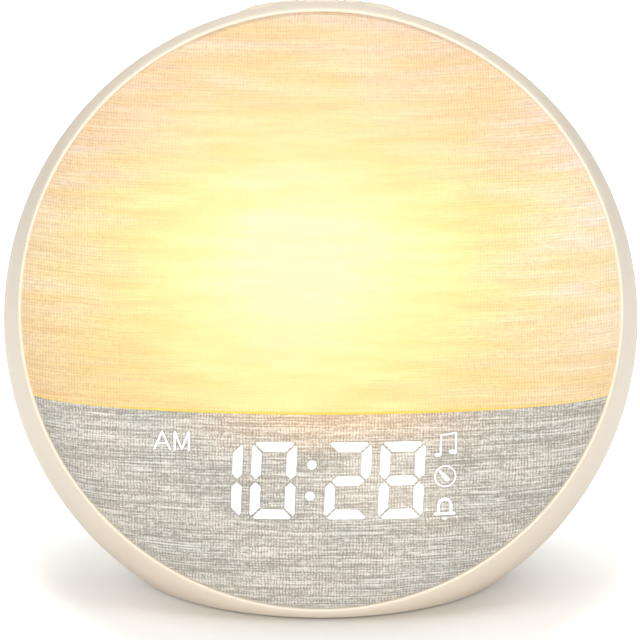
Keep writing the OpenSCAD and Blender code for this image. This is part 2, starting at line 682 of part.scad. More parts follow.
// ---- Speaker ----
// Hole centres: a centre hole and rings of six, twelve and so on
grille_rings = floor((grille_r - grille_ledge - grille_hole) / grille_pitch);
module speaker_grille() color([0.90, 0.85, 0.77]) on_axis() at_speaker() difference() {
    disc(grille_r - fit, back_depth - grille_t, back_depth);
    disc(grille_hole / 2, back_depth - wall, back_depth + 1);
    for (ring = [1 : grille_rings]) for (i = [0 : 6 * ring - 1])
        rotate(60 * i / ring) translate([ring * grille_pitch, 0, 0])
            disc(grille_hole / 2, back_depth - wall, back_depth + 1);
}
module grille_cloth() color([0.12, 0.12, 0.12]) on_axis() at_speaker()
    disc(grille_r - grille_ledge - fit, back_depth - grille_t - 0.4, back_depth - grille_t);
module speaker_gasket() color([0.10, 0.10, 0.10]) on_axis() at_speaker()
    tube(speaker_screw_r - 2.5 - fit, grille_r - grille_ledge, flange_back, back_depth - wall);

// Pressed basket: flange, conical wall with windows, and the seat of the magnet
flange_t = 1.2;
basket_r = speaker_screw_r - 4;
magnet_r = 14;
magnet_t = 8;
magnet_hole = 9.5;
window_w = 7;
window_in = 3;
seat_a = flange_back - speaker_depth + magnet_t;
module speaker_basket() color([0.32, 0.33, 0.34]) on_axis() difference() {
    at_speaker() rotate_extrude() polygon([[basket_r - 1.4, -flange_back], [speaker_r, -flange_back],
        [speaker_r, flange_t - flange_back], [basket_r, flange_t - flange_back],
        [magnet_r + 1, -seat_a], [magnet_hole, -seat_a], [magnet_hole, -seat_a - flange_t],
        [magnet_r, -seat_a - flange_t], [roll_out, surround_seat + flange_t],
        [roll_out, surround_seat], [basket_r - 1.4, surround_seat]]);
    at_speaker_screws() disc(speaker_screw_d / 2 + 0.15, flange_back - 5, flange_back + 1);
    at_speaker() for (t = [0 : 60 : 300]) rotate(t)
        translate([basket_r / 2, -window_w / 2, window_in - flange_back])
            cube([basket_r, window_w, speaker_depth - magnet_t - window_in - 4]);
}
module speaker_screws() color("silver") on_axis() at_speaker_screws() {
    disc(speaker_screw_d / 2, flange_back - flange_t, flange_back + speaker_bite - 0.3);
    disc(2, flange_back - flange_t - 1.4, flange_back - flange_t);
}
coil_r = 7.5;
coil_l = 3.5;
dust_cap_h = 1.8;
module speaker_magnet() color([0.20, 0.20, 0.21]) on_axis() at_speaker() difference() {
    disc(magnet_r, seat_a - magnet_t, seat_a);
    tube(coil_r + 0.9, coil_r - 0.9, seat_a - coil_l - cone_travel - 0.7, seat_a + 1);
}
// The cone's outer edge hangs in a half-round rubber surround
surround_t = 0.6;
roll_r = 1.8;
roll_out = basket_r - 3;
surround_seat = 2.2 - flange_back;
roll_mid = roll_out - roll_r;
surround_in = roll_mid - roll_r - 0.9;
cone_edge = surround_in - 0.3;
cone_a = flange_back - 2;
cone_t = 0.6;
roll_from = asin(surround_t / roll_r);
function roll_pts(r, from, to) = [for (i = [0 : 8]) let (t = from + (to - from) * i / 8)
    [roll_mid + r * cos(t), surround_seat - r * sin(t)]];
module speaker_surround() color([0.10, 0.10, 0.10]) on_axis() at_speaker() rotate_extrude()
    polygon(concat(
        [[basket_r - 1.5, surround_seat], [basket_r - 1.5, surround_seat - surround_t]],
        roll_pts(roll_r, roll_from, 180 - roll_from),
        [[surround_in, surround_seat - surround_t], [surround_in, surround_seat]],
        roll_pts(roll_r - surround_t, 180, 0)));
module speaker_cone() color([0.16, 0.16, 0.17]) on_axis() at_speaker() rotate_extrude()
    polygon([[cone_edge, -cone_a], [cone_edge, cone_t - cone_a], [coil_r, -seat_a - coil_l],
        [0, -seat_a - coil_l - dust_cap_h], [0, -seat_a - coil_l - dust_cap_h - cone_t],
        [coil_r, -seat_a - coil_l - cone_t]]);
module voice_coil() color([0.72, 0.42, 0.22]) on_axis() at_speaker()
    tube(coil_r + 0.5, coil_r - 0.1, seat_a - coil_l, seat_a + coil_l);

// ---- Top keys ----
frame_t = 2;
frame_lap = 1.5;
under_r = shell_r - wall - frame_t;
key_x = [-key_inner_pitch - key_side_pitch, -key_inner_pitch, 0, key_inner_pitch,
    key_inner_pitch + key_side_pitch];
key_w = [key_side_w, key_side_w, key_main_w, key_side_w, key_side_w];
flange_w = 0.45;
key_flange_t = 1;
switch_top = shell_r - switch_drop;
plunger_d = 3.2;
stem_d = 3.4;
board_top = switch_top - switch_h;
leg_x = key_x[4] + switch_w / 2 + 3.4;
leg_d = 4;
leg_top = sqrt(pow(under_r, 2) - pow(leg_x - leg_d / 2, 2)) + 0.2;
key_board_w = 2 * leg_x + 6;
key_board_d = 14;

// Solid of the housing's outside, raised by an amount that fades out at the pad's edge
function pad_fade(depth) = min(1, max(0, (pad_d / 2 - abs(depth - pad_back)) / pad_bevel));
module raised(rise, n = 20) rotate_extrude() polygon(concat(
    [[0, pad_d / 2 - pad_back]],
    [for (i = [0 : n]) let (d = pad_back - pad_d / 2 + pad_d * i / n)
        [shell_r_at(d) + rise * pad_fade(d), -d]],
    [[0, -pad_d / 2 - pad_back]]));
// Sloping ends of the pad, seen along the axis
end_t = asin(pad_w / 2 / shell_r);
slope_t = end_t - 180 / PI * pad_bevel * 1.4 / shell_r;
function at_angle(t, r) = [r * sin(t), r * cos(t)];
module pad_ends() translate([0, 0, -pad_back - pad_d]) linear_extrude(2 * pad_d) polygon([
    at_angle(-end_t, shell_r / 2), at_angle(-end_t, shell_r), at_angle(-slope_t, shell_r + pad_rise),
    at_angle(-slope_t / 2, shell_r + 3 * pad_rise), at_angle(slope_t / 2, shell_r + 3 * pad_rise),
    at_angle(slope_t, shell_r + pad_rise), at_angle(end_t, shell_r), at_angle(end_t, shell_r / 2)]);
// Height of a key's flange, clear of the curved underside of the frame
function flange_top(i) =
    sqrt(pow(under_r, 2) - pow(abs(key_x[i]) + key_w[i] / 2 + flange_w, 2)) - 0.15;

module key_frame() color([0.95, 0.91, 0.83]) difference() {
    on_axis() union() {
        intersection() {
            raised(pad_rise);
            pad_ends();
            up_prism(grown(pad_w, pad_d, pad_corner), shell_r / 2, far);
        }
        intersection() {
            rotate_extrude() polygon(concat([[0, 2 - pad_back + pad_d / 2]],
                flare_pts(pad_back - pad_d / 2 - 2, flare_depth, wall + fit, 6),
                [for (p = tail_pts(wall + fit, 24)) if (p[1] > -pad_back - pad_d / 2 - 2.5) p],
                [[0, -pad_back - pad_d / 2 - 2]]));
            up_prism(grown(pad_w + 2 * frame_lap, pad_d + 2 * frame_lap, pad_corner + 1), shell_r / 2, far);
        }
        for (s = [-1, 1]) up_prism(grown(leg_d, leg_d, leg_d / 2 - 0.01, s * leg_x), board_top, leg_top);
    }
    on_axis() difference() {
        translate([0, 0, -far / 2]) cylinder(r = under_r, h = far);
        for (s = [-1, 1]) up_prism(grown(leg_d, leg_d, leg_d / 2 - 0.01, s * leg_x), board_top, far);
    }
    on_axis() for (i = [0 : 4])
        up_prism(grown(key_w[i] + 2 * key_gap, key_d + 2 * key_gap, 2 + key_gap, key_x[i]), shell_r / 2, far);
    on_axis() for (s = [-1, 1]) translate([s * leg_x, board_top - 1, -pad_back]) rotate([-90, 0, 0])
        cylinder(d = 1.8, h = 4.5, $fn = 32);
}
module one_key(i) on_axis() {
    intersection() {
        raised(pad_rise + key_rise);
        up_prism(grown(key_w[i], key_d, 2, key_x[i]), flange_top(i) - key_flange_t, far);
    }
    up_prism(grown(key_w[i] + 2 * flange_w, key_d + 2 * flange_w, 2 + flange_w, key_x[i]),
        flange_top(i) - key_flange_t, flange_top(i));
    translate([key_x[i], switch_top + key_travel + 0.6, -pad_back]) rotate([-90, 0, 0])
        cylinder(d = stem_d, h = flange_top(i) - switch_top - key_travel - 0.6);
}
module one_plunger(i) on_axis() translate([key_x[i], 0, -pad_back]) rotate([-90, 0, 0])
    translate([0, 0, switch_top - 0.8]) cylinder(d = plunger_d, h = key_travel + 1.4);
key_color = [0.97, 0.94, 0.87];
module key_light_down() color(key_color) one_key(0);
module key_light_up() color(key_color) one_key(1);
module key_snooze() color(key_color) one_key(2);
module key_sound_down() color(key_color) one_key(3);
module key_sound_up() color(key_color) one_key(4);
module plunger_light_down() color([0.15, 0.15, 0.15]) one_plunger(0);
module plunger_light_up() color([0.15, 0.15, 0.15]) one_plunger(1);
module plunger_snooze() color([0.15, 0.15, 0.15]) one_plunger(2);
module plunger_sound_down() color([0.15, 0.15, 0.15]) one_plunger(3);
module plunger_sound_up() color([0.15, 0.15, 0.15]) one_plunger(4);

module key_switches() color([0.55, 0.56, 0.58]) on_axis() for (x = key_x) difference() {
    up_prism(grown(switch_w, switch_w, 0.4, x), board_top, switch_top);
    translate([x, switch_top - 0.8 - key_travel - 0.3, -pad_back]) rotate([-90, 0, 0])
        cylinder(d = plunger_d + 0.4, h = 10);
}
module key_board() color([0.08, 0.30, 0.17]) on_axis() difference() {
    up_prism(grown(key_board_w, key_board_d, 1.5), board_top - board_t, board_top);
    for (s = [-1, 1]) translate([s * leg_x, board_top - board_t - 1, -pad_back]) rotate([-90, 0, 0])
        cylinder(d = 2.1, h = board_t + 2, $fn = 32);
}
module key_board_screws() color("silver") on_axis() for (s = [-1, 1])
    translate([s * leg_x, board_top - board_t, -pad_back]) rotate([-90, 0, 0]) {
        cylinder(d = 1.8, h = board_t + 3);
        translate([0, 0, -1.2]) cylinder(d = 3.6, h = 1.2);
    }

// ---- Leads held inside the housing ----
lead_d = 2.2;
// Ring of eight points round p, across the way to q
function ring_at(p, q, r) = let (d = (q - p) / norm(q - p), e = cross(d, [1, 0.2, 0.1]), f = e / norm(e),
    g = cross(d, f)) [for (i = [0 : 7]) p + r * (cos(45 * i) * f + sin(45 * i) * g)];
function smooth(p, n) = n == 0 ? p : smooth(concat([p[0]],
    [for (i = [0 : len(p) - 2]) each [0.75 * p[i] + 0.25 * p[i + 1], 0.25 * p[i] + 0.75 * p[i + 1]]],
    [p[len(p) - 1]]), n - 1);
module lead(route) {
    p = smooth(route, 2);
    n = len(p);
    polyhedron(points = [for (i = [0 : n - 1]) each ring_at(p[i], i < n - 1 ? p[i + 1] : 2 * p[i] - p[i - 1],
            lead_d / 2)],
        faces = concat([[for (i = [0 : 7]) i]], [[for (i = [7 : -1 : 0]) 8 * (n - 1) + i]],
            [for (j = [0 : n - 2], i = [0 : 7])
                [8 * j + i, 8 * j + 8 + i, 8 * j + 8 + (i + 1) % 8, 8 * j + (i + 1) % 8]]));
}
// Routes in x, up the front, and height along the axis
plug_a = -board_back - 1.2;
function plug_at(k, a) = [connector_spots[k][0], connector_spots[k][1] + main_up, a];
speaker_route = [plug_at(0, plug_a), plug_at(0, -31), [-15, -30, -37], [-23, -22, -44],
    [-20, -12, -50], [-17.6, -6, -53]];
power_route = [plug_at(1, plug_a), plug_at(1, -30), [12, -32, -38], [7, -36, -42],
    [0, inlet_top + lead_d / 2, -46]];
key_route = [plug_at(2, plug_a), plug_at(2, -30), [6, 42, -36], [9, 60, -34],
    [8, board_top - board_t - lead_d / 2, -30]];
module speaker_lead() color([0.55, 0.10, 0.10]) on_axis() lead(speaker_route);
module power_lead() color([0.10, 0.10, 0.10]) on_axis() lead(power_route);
module key_lead() color([0.85, 0.85, 0.80]) on_axis() lead(key_route);

front_shell();
rear_shell();
front_bezel();
base_foot();
fabric_cover();
lamp_diffuser();
lower_dome();
divider_shelf();
reflector_bowl();
led_board();
lamp_leds();
chassis_plate();
chassis_screws();
display_hood();
display_board();
display_leds();
lit_segments();
dark_segments();
colon_dots();
am_window();
icon_windows();
display_screws();
main_board();
main_chips();
main_capacitors();
board_connectors();
board_screws();
cell_holder();
backup_cell();
inlet_board();
usb_socket();
usb_tongue();
inlet_screws();
speaker_grille();
grille_cloth();
speaker_gasket();
speaker_basket();
speaker_magnet();
speaker_surround();
speaker_cone();
voice_coil();
speaker_screws();
key_frame();
key_board();
key_switches();
key_board_screws();
key_light_down();
key_light_up();
key_snooze();
key_sound_down();
key_sound_up();
plunger_light_down();
plunger_light_up();
plunger_snooze();
plunger_sound_down();
plunger_sound_up();
housing_screws();
speaker_lead();
power_lead();
key_lead();
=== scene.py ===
"""Sunrise alarm clock: a round moulded housing that leans back on its flat foot, with a
domed linen front that is a lamp above and a clock display below."""
import json
from math import atan2, cos, floor, pi, radians, sin, sqrt

import bmesh
import bpy
from mathutils import Matrix, Vector


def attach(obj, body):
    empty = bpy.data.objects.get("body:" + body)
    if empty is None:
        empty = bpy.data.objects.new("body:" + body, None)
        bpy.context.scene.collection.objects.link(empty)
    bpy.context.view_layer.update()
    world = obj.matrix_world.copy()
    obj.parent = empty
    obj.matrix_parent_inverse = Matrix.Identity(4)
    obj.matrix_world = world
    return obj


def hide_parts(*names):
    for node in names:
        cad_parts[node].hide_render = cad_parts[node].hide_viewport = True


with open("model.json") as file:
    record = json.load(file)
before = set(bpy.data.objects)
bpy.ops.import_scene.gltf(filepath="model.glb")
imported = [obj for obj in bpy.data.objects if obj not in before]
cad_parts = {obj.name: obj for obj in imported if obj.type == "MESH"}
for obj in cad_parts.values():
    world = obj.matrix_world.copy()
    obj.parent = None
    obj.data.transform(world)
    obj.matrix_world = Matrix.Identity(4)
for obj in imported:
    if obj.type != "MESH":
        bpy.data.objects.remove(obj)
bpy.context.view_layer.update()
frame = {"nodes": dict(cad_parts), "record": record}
scene = bpy.context.scene
scene.view_settings.view_transform = "Standard"

# ---- Camera, table and studio light ----
# The clock stands on a pale table top, and the camera looks down on it a little from the
# front. One large soft box hangs above it. Two weaker ones stand in front, one of them
# low, and one more stands high at each side.
mm = 0.001
lean = radians(18.5)
rim_centre = Vector((0, -7, 80.29)) * mm
forward = Vector((0, -cos(lean), sin(lean)))
upward = Vector((0, sin(lean), cos(lean)))


def in_place(across=0.0, up=0.0, ahead=0.0):
    """A point given in millimetres from the middle of the cloth's edge, in metres."""
    return rim_centre + mm * (across * Vector((1, 0, 0)) + up * upward + ahead * forward)


def added(name, data):
    """A new object in the scene."""
    made = bpy.data.objects.new(name, data)
    scene.collection.objects.link(made)
    return made


camera_rise = radians(13.4)
camera_distance = 0.7732
camera_data = bpy.data.cameras.new("front_camera")
camera_data.lens = 162
camera = added("front_camera", camera_data)
camera.location = rim_centre + camera_distance * Vector((0, -cos(camera_rise), sin(camera_rise)))
camera_aim = rim_centre + Vector((-0.2, 0, -3.45)) * mm
camera.rotation_euler = (camera_aim - camera.location).to_track_quat("-Z", "Y").to_euler()
scene.camera = camera
light_aim = Vector((0, 0, 0.06))


def soft_box(name, place, size, power, colour):
    """A square studio lamp that points at the clock."""
    lamp = bpy.data.lights.new(name, "AREA")
    lamp.shape = "SQUARE"
    lamp.size = size
    lamp.energy = power
    lamp.color = colour
    holder = added(name, lamp)
    holder.location = place
    holder.rotation_euler = (light_aim - Vector(place)).to_track_quat("-Z", "Y").to_euler()


soft_box("overhead_box", (0.04, -0.22, 1.35), 1.1, 12.6, (1.0, 0.985, 0.945))
soft_box("right_box", (1.0, -0.45, 0.95), 0.8, 0.8, (1.0, 0.985, 0.96))
soft_box("left_box", (-1.0, -0.45, 0.95), 0.8, 1.2, (1.0, 0.985, 0.97))
soft_box("front_box", (0.0, -1.3, 0.33), 0.5, 5.2, (1.0, 0.99, 0.985))
soft_box("low_box", (0.0, -0.95, 0.06), 0.25, 2.9, (1.0, 1.0, 1.0))


class Wire:
    """One output of a node. Arithmetic on wires adds math nodes to their tree."""

    def __init__(self, tree, socket):
        self.tree, self.socket = tree, socket

    def __getitem__(self, label):
        return Wire(self.tree, self.socket.node.outputs[label])

    def step(self, operation, *others, clamp=False):
        return node("Math", self, *others, operation=operation, use_clamp=clamp)

    def __add__(self, other):
        return self.step("ADD", other)

    def __sub__(self, other):
        return self.step("SUBTRACT", other)

    def __rsub__(self, other):
        return node("Math", other, self, operation="SUBTRACT")

    def __mul__(self, other):
        return self.step("MULTIPLY", other)

    def __truediv__(self, other):
        return self.step("DIVIDE", other)

    def __pow__(self, other):
        return self.step("POWER", other)

    def __abs__(self):
        return self.step("ABSOLUTE")

    def __floor__(self):
        return self.step("FLOOR")


def fill(socket, source):
    """Links a socket to a wire, or sets its value."""
    if isinstance(source, Wire):
        source.tree.links.new(source.socket, socket)
    elif source is not None:
        socket.default_value = (*source, 1) if socket.type == "RGBA" else source


def put(target, **values):
    """Links or sets a node's inputs by name."""
    for label, value in values.items():
        fill(target.inputs[label.replace("_", " ")], value)


def tree_of(*sources):
    return next(source.tree for source in sources if isinstance(source, Wire))


def node(kind, *sources, tree=None, out=0, **settings):
    """Adds a node and gives one of its outputs. Its inputs are linked or set in order, and
    None leaves one as it is."""
    tree = tree or tree_of(*sources)
    made = tree.nodes.new(kind if kind.startswith("Geometry") else "ShaderNode" + kind)
    for name, value in settings.items():
        setattr(made, name, value)
    for socket, source in zip(made.inputs, sources):
        fill(socket, source)
    return Wire(tree, made.outputs[out])


def faded(value, start, end, low=0.0, high=1.0):
    """Value carried smoothly from low at start to high at end."""
    return node("MapRange", value, start, end, low, high, interpolation_type="SMOOTHSTEP")


def length(vector):
    return node("VectorMath", vector, operation="LENGTH")["Value"]


def new_finish(name):
    """A new material, its shader, and a wire with the object's own coordinates."""
    finish = bpy.data.materials.new(name)
    finish.use_nodes = True
    tree = finish.node_tree
    return finish, tree.nodes["Principled BSDF"], node("TexCoord", tree=tree, out="Object")


room = bpy.data.worlds.new("white_room")
room.use_nodes = True
put(room.node_tree.nodes["Background"], Color=(1.0, 0.99, 0.975), Strength=0.35)
scene.world = room
table_half = 4.0
table_mesh = bpy.data.meshes.new("table_top")
table_mesh.from_pydata([(x * table_half, y * table_half, 0)
                        for x, y in ((-1, -1), (1, -1), (1, 1), (-1, 1))], [], [(0, 1, 2, 3)])
table_top = added("table_top", table_mesh)
# The table glows white to the camera and in reflections. Near the clock the glow is held low, most of all in
# front of it, so it also sets how far and how dark the shadow looks: painted light over the real shadow.
table_paint, shader, spot = new_finish("white_table")
put(shader, Base_Color=(0.775, 0.765, 0.748), Roughness=0.9, Specular_IOR_Level=0.1)
rays = node("LightPath", tree=spot.tree)
seen = rays["Is Camera Ray"].step("MAXIMUM", rays["Is Glossy Ray"])
seen = seen.step("MAXIMUM", rays["Is Transmission Ray"])
behind = faded(node("SeparateXYZ", spot)["Y"], -0.065, 0.085, 0.06, 0.72)
reach = length(node("Mapping", spot, (-0.004, -0.008, 0), None, (1.25, 1, 1)))
beside = behind * faded(reach, 0.028, 0.080)
near_glow = beside.step("SMOOTH_MAX", faded(reach, 0.068, 0.118, 0.0, 0.58), 0.06)
glow = (near_glow + faded(reach, 0.09, 0.25, 0.0, 0.45)) * seen
lift = node("Emission", (1, 0.995, 0.985), glow)
both = node("AddShader", Wire(spot.tree, shader.outputs[0]), lift)
put(spot.tree.nodes["Material Output"], Surface=both)
table_mesh.materials.append(table_paint)

# ---- Housing ----
# Two injection-moulded ABS shells in warm ivory, with a fine spark-eroded grain, meet at
# the widest diameter, where a tongue in the front one centres the rear one. Four screws
# from the rear hold them together. Sizes from here on are in millimetres.
shell_r = 88.0
cloth_r = 80.25
lip_r = 81.45
back_r = 50.0
flare_depth = 28.0
flare_curve = 1.68
rear_depth = 37.0
back_depth = flare_depth + rear_depth
wall = 2.4
seam_gap = 0.4
base_gap = 0.4
floor_top = 3.2
edge_round = 0.35


def flare_r(depth):
    """Radius of the front shell's outside at a depth behind the cloth's edge."""
    return lip_r + (shell_r - lip_r) * (1 - max(0.0, 1 - depth / flare_depth) ** flare_curve)


def housing_r(depth):
    """Radius of the housing's outside, whose rear shell rounds to its flat back."""
    tail = sqrt(max(0.0, 1 - ((depth - flare_depth) / rear_depth) ** 2))
    return flare_r(depth) if depth < flare_depth else back_r + (shell_r - back_r) * tail


def arc(across, up, radius, start, end, steps):
    """Points of a round stretch, in degrees from start to end."""
    return [(across + radius * cos(radians(start + (end - start) * i / steps)),
             up + radius * sin(radians(start + (end - start) * i / steps))) for i in range(steps + 1)]


def smoothed(mesh, crease):
    """Shades a mesh smoothly between the edges that are sharper than the crease."""
    mesh.polygons.foreach_set("use_smooth", [True] * len(mesh.polygons))
    mesh.set_sharp_from_angle(angle=radians(crease))


def finished(name, bm, crease=35.0):
    """Turns a bmesh in metres into a smooth-shaded object whose sharp edges stay sharp."""
    mesh = bpy.data.meshes.new(name)
    bm.to_mesh(mesh)
    bm.free()
    smoothed(mesh, crease)
    return added(name, mesh)


def turned(outline, steps=240, across=0.0, up=0.0, placed=in_place):
    """A bmesh of an outline in (radius, height in front of the cloth's edge), turned
    round the housing's axis or round a line beside it."""
    bm = bmesh.new()
    rings = []
    for radius, ahead in outline:
        rings.append([bm.verts.new(placed(across + radius * cos(2 * pi * i / steps),
                                          up + radius * sin(2 * pi * i / steps), ahead))
                      for i in range(steps if radius > 1e-6 else 1)])
    pairs = list(zip(rings, rings[1:]))
    if len(rings[0]) > 1 and len(rings[-1]) > 1:
        pairs.append((rings[-1], rings[0]))
    for first, second in pairs:
        for i in range(steps if len(first) + len(second) > 2 else 0):
            corners = [first[i % len(first)], first[(i + 1) % len(first)],
                       second[(i + 1) % len(second)], second[i % len(second)]]
            bm.faces.new(list(dict.fromkeys(corners)))
    bmesh.ops.recalc_face_normals(bm, faces=bm.faces)
    return bm


def cut_level(bm, height):
    """Removes what lies below a level height, in millimetres, and closes the cut."""
    cut = bmesh.ops.bisect_plane(bm, geom=bm.verts[:] + bm.edges[:] + bm.faces[:], dist=1e-7,
                                 plane_co=(0, 0, height * mm), plane_no=(0, 0, 1), clear_inner=True)
    rim = [e for e in cut["geom_cut"] if isinstance(e, bmesh.types.BMEdge) and e.is_boundary]
    bmesh.ops.edgeloop_fill(bm, edges=rim)
    bmesh.ops.recalc_face_normals(bm, faces=bm.faces)
    return bm


def applied(body, crease=35.0):
    """Makes what a piece's modifiers give its plain mesh."""
    bpy.context.view_layer.update()
    live = body.evaluated_get(bpy.context.evaluated_depsgraph_get())
    mesh = bpy.data.meshes.new_from_object(live)
    body.modifiers.clear()
    old = body.data
    body.data = mesh
    bpy.data.meshes.remove(old)
    mesh.name = body.name
    smoothed(mesh, crease)


def carved(body, cutters, crease=35.0):
    """Cuts solids out of a body and removes them."""
    for cutter in cutters:
        cut = body.modifiers.new("cut", "BOOLEAN")
        cut.operation = "DIFFERENCE"
        cut.solver = "EXACT"
        cut.object = cutter
    applied(body, crease)
    for cutter in cutters:
        bpy.data.objects.remove(cutter)


def rounded_outline(width, height, corner, steps=8):
    """Corner points of a rounded rectangle, anticlockwise."""
    w, h = width / 2 - corner, height / 2 - corner
    return [point for turn, x, y in ((0, w, h), (90, -w, h), (180, -w, -h), (270, w, -h))
            for point in arc(x, y, corner, turn, turn + 90, steps)]


def walls(bm, rows):
    """Joins rows of points that lie one above the other."""
    for low, high in zip(rows, rows[1:]):
        for i in range(len(low)):
            j = (i + 1) % len(low)
            bm.faces.new((low[i], low[j], high[j], high[i]))


def prism(loops):
    """A closed bmesh that joins loops of points, given in metres, one above the other."""
    bm = bmesh.new()
    rows = [[bm.verts.new(p) for p in loop] for loop in loops]
    walls(bm, rows)
    bm.faces.new(rows[0][::-1])
    bm.faces.new(rows[-1])
    bmesh.ops.recalc_face_normals(bm, faces=bm.faces)
    return bm


# The pad opening on top, seen from above: a rounded rectangle across the seam
pad_w, pad_d, pad_back, pad_corner = 47.0, 28.0, 27.0, 8.0
pad_fit = 0.1
pad_cut_up = (60, 100)


def pad_cutter():
    """A solid as wide as the pad's opening, from inside the housing to above it."""
    outline = rounded_outline(pad_w + 2 * pad_fit, pad_d + 2 * pad_fit, pad_corner + pad_fit)
    return finished("pad_cutter", prism([[in_place(x, up, y - pad_back) for x, y in outline]
                                         for up in pad_cut_up]))


def flare_line(start, end, inset, steps):
    """Outline of the front shell, or of its inside, between two depths."""
    depths = [start + (end - start) * i / steps for i in range(steps + 1)]
    return [(flare_r(depth) - inset, -depth) for depth in depths]


def tail_line(inset, start, steps):
    """Outline of the rear shell, or of its inside, round to its flat back."""
    turns = [radians(start + (90 - start) * i / steps) for i in range(steps + 1)]
    return [(back_r + (shell_r - inset - back_r) * cos(t), -flare_depth - (rear_depth - inset) * sin(t))
            for t in turns]


seat_r, seat_depth, ledge_r, ledge_back = 80.95, 5.0, 75.0, 7.5
tongue_fit = 0.1
tongue_r, tongue_l = shell_r - wall / 2 - tongue_fit, 2.0
front_outline = ([(0, -1)] + flare_line(1, flare_depth - edge_round, 0, 36)
                 + arc(shell_r - edge_round, -flare_depth + edge_round, edge_round, 0, -90, 4)
                 + [(tongue_r, -flare_depth), (tongue_r, -flare_depth - tongue_l),
                    (0, -flare_depth - tongue_l)])
front_shell = finished("front_shell_skin", cut_level(turned(front_outline), base_gap))
hollow_end = flare_depth + 4
front_hollow = finished("front_hollow", cut_level(turned(
    [(0, 1), (seat_r, 1), (seat_r, -seat_depth), (ledge_r, -seat_depth), (ledge_r, -ledge_back)]
    + flare_line(ledge_back, flare_depth, wall, 20) + [(shell_r - wall, -hollow_end), (0, -hollow_end)]),
    floor_top))
# The tongue stops short of the flat underside
notch_w, notch_start, notch_up = 120.0, flare_depth + 0.01, (-110.0, -71.4)
tongue_notch = finished("tongue_notch", prism([
    [in_place(side * notch_w / 2, up, -depth)
     for side, depth in ((-1, notch_start), (1, notch_start), (1, hollow_end), (-1, hollow_end))]
    for up in notch_up]))
carved(front_shell, [front_hollow, tongue_notch, pad_cutter()])

tail_start, tail_turn = flare_depth + seam_gap, 2.2
rear_outline = ([(0, -tail_start)]
                + arc(shell_r - edge_round, -tail_start - edge_round, edge_round, 90, 10, 4)
                + tail_line(0, tail_turn, 48) + [(0, -back_depth)])
rear_shell = finished("rear_shell_skin", cut_level(turned(rear_outline), base_gap))
# The inside's first three points give way to the seat of the tongue
tongue_seat_r, tongue_seat_end = tongue_r + tongue_fit, flare_depth + tongue_l + tongue_fit
rear_hollow = finished("rear_hollow", cut_level(turned(
    [(0, 1 - flare_depth), (tongue_seat_r, 1 - flare_depth), (tongue_seat_r, -tongue_seat_end),
     (shell_r - wall - tongue_fit, -tongue_seat_end)]
    + tail_line(wall, 0, 30)[3:] + [(0, wall - back_depth)]), floor_top))


def round_cutter(name, across, up, radius, depth, chamfer=0.3, steps=64):
    """A sunk round hole in the rear face, with a small chamfer at its mouth."""
    beyond = 0.2
    outline = [(0, depth), (radius, depth), (radius, chamfer), (radius + chamfer + beyond, -beyond),
               (0, -beyond)]
    outline = [(r, -back_depth + ahead) for r, ahead in outline]
    return finished(name, turned(outline, steps, across, up))


screw_across, screw_up = 36.0, 26.0
screw_at = [(sx * screw_across, su * screw_up) for sx in (-1, 1) for su in (-1, 1)]
grille_up, grille_r, grille_t, grille_ledge = 8.0, 25.0, 1.2, 1.6
rear_cutters = [rear_hollow, pad_cutter(),
                round_cutter("grille_seat", 0, grille_up, grille_r, grille_t, 0.25, 120),
                round_cutter("grille_bore", 0, grille_up, grille_r - grille_ledge, 4, 0, 120)]
for place in screw_at:
    rear_cutters.append(round_cutter("screw_seat", *place, 3.1, wall, 0.35, 40))
usb_up, usb_mouth_w, usb_mouth_h, usb_chamfer = -38.0, 9.5, 3.8, 0.35


def inlet_loop(grow, ahead):
    """The inlet's mouth, made wider all round, at a distance ahead of the rear face."""
    outline = rounded_outline(usb_mouth_w + 2 * grow, usb_mouth_h + 2 * grow,
                              usb_mouth_h / 2 + grow - 0.05)
    return [in_place(x, usb_up + y, ahead - back_depth) for x, y in outline]


rear_cutters.append(finished("inlet_cutter", prism([
    inlet_loop(0, 4), inlet_loop(0, usb_chamfer), inlet_loop(usb_chamfer, 0), inlet_loop(usb_chamfer, -1)])))
carved(rear_shell, rear_cutters)


def new_group(name, inputs, outputs, kind="ShaderNodeTree"):
    """A node group, a wire from its inputs, and its output node. Each socket is named with
    its kind, or with its default number."""
    tree = bpy.data.node_groups.new(name, kind)
    for side, described in (("INPUT", inputs), ("OUTPUT", outputs)):
        for label, form in described.items():
            form_name = {float: "Float", int: "Int"}.get(type(form), form)
            socket = tree.interface.new_socket(
                label, in_out=side, socket_type="NodeSocket" + form_name)
            if form_name != form:
                socket.default_value = form
    given = tree.nodes.new("NodeGroupInput")
    return tree, Wire(tree, given.outputs[0]), tree.nodes.new("NodeGroupOutput")


def use(group, **values):
    """Places a node group in a tree, with its inputs linked or set by name."""
    tree = tree_of(*values.values())
    placed = tree.nodes.new("ShaderNodeGroup")
    placed.node_tree = group
    put(placed, **values)
    return Wire(tree, placed.outputs[0])


def noise(vector, scale, detail, rough):
    return node("TexNoise", vector, None, scale, detail, rough)


def scaled(vector, share):
    return node("VectorMath", vector, None, None, share, operation="SCALE")


def bumped(height, strength, distance):
    """The surface's direction, pushed by a height."""
    made = node("Bump", strength, distance, tree=height.tree)
    put(made.socket.node, Height=height)
    return made


# Moulded plastic: a fine even grain from the mould and a slow drift in tone
mould_grain, given, taken = new_group(
    "mould_grain",
    {"Point": "Vector", "Colour": "Color", "Grain": 4500.0, "Drift": 0.03, "Gloss": 0.4},
    {"Colour": "Color", "Roughness": "Float", "Height": "Float"})
fine = noise(given["Point"], given["Grain"], 2.0, 0.6)
slow = noise(given["Point"], 22.0, 2.0, 0.5)
shade = (slow - 0.5) * given["Drift"] + 1.0
put(taken, Colour=scaled(given["Colour"], shade), Roughness=fine * 0.12 + (given["Gloss"] - 0.06),
    Height=fine)


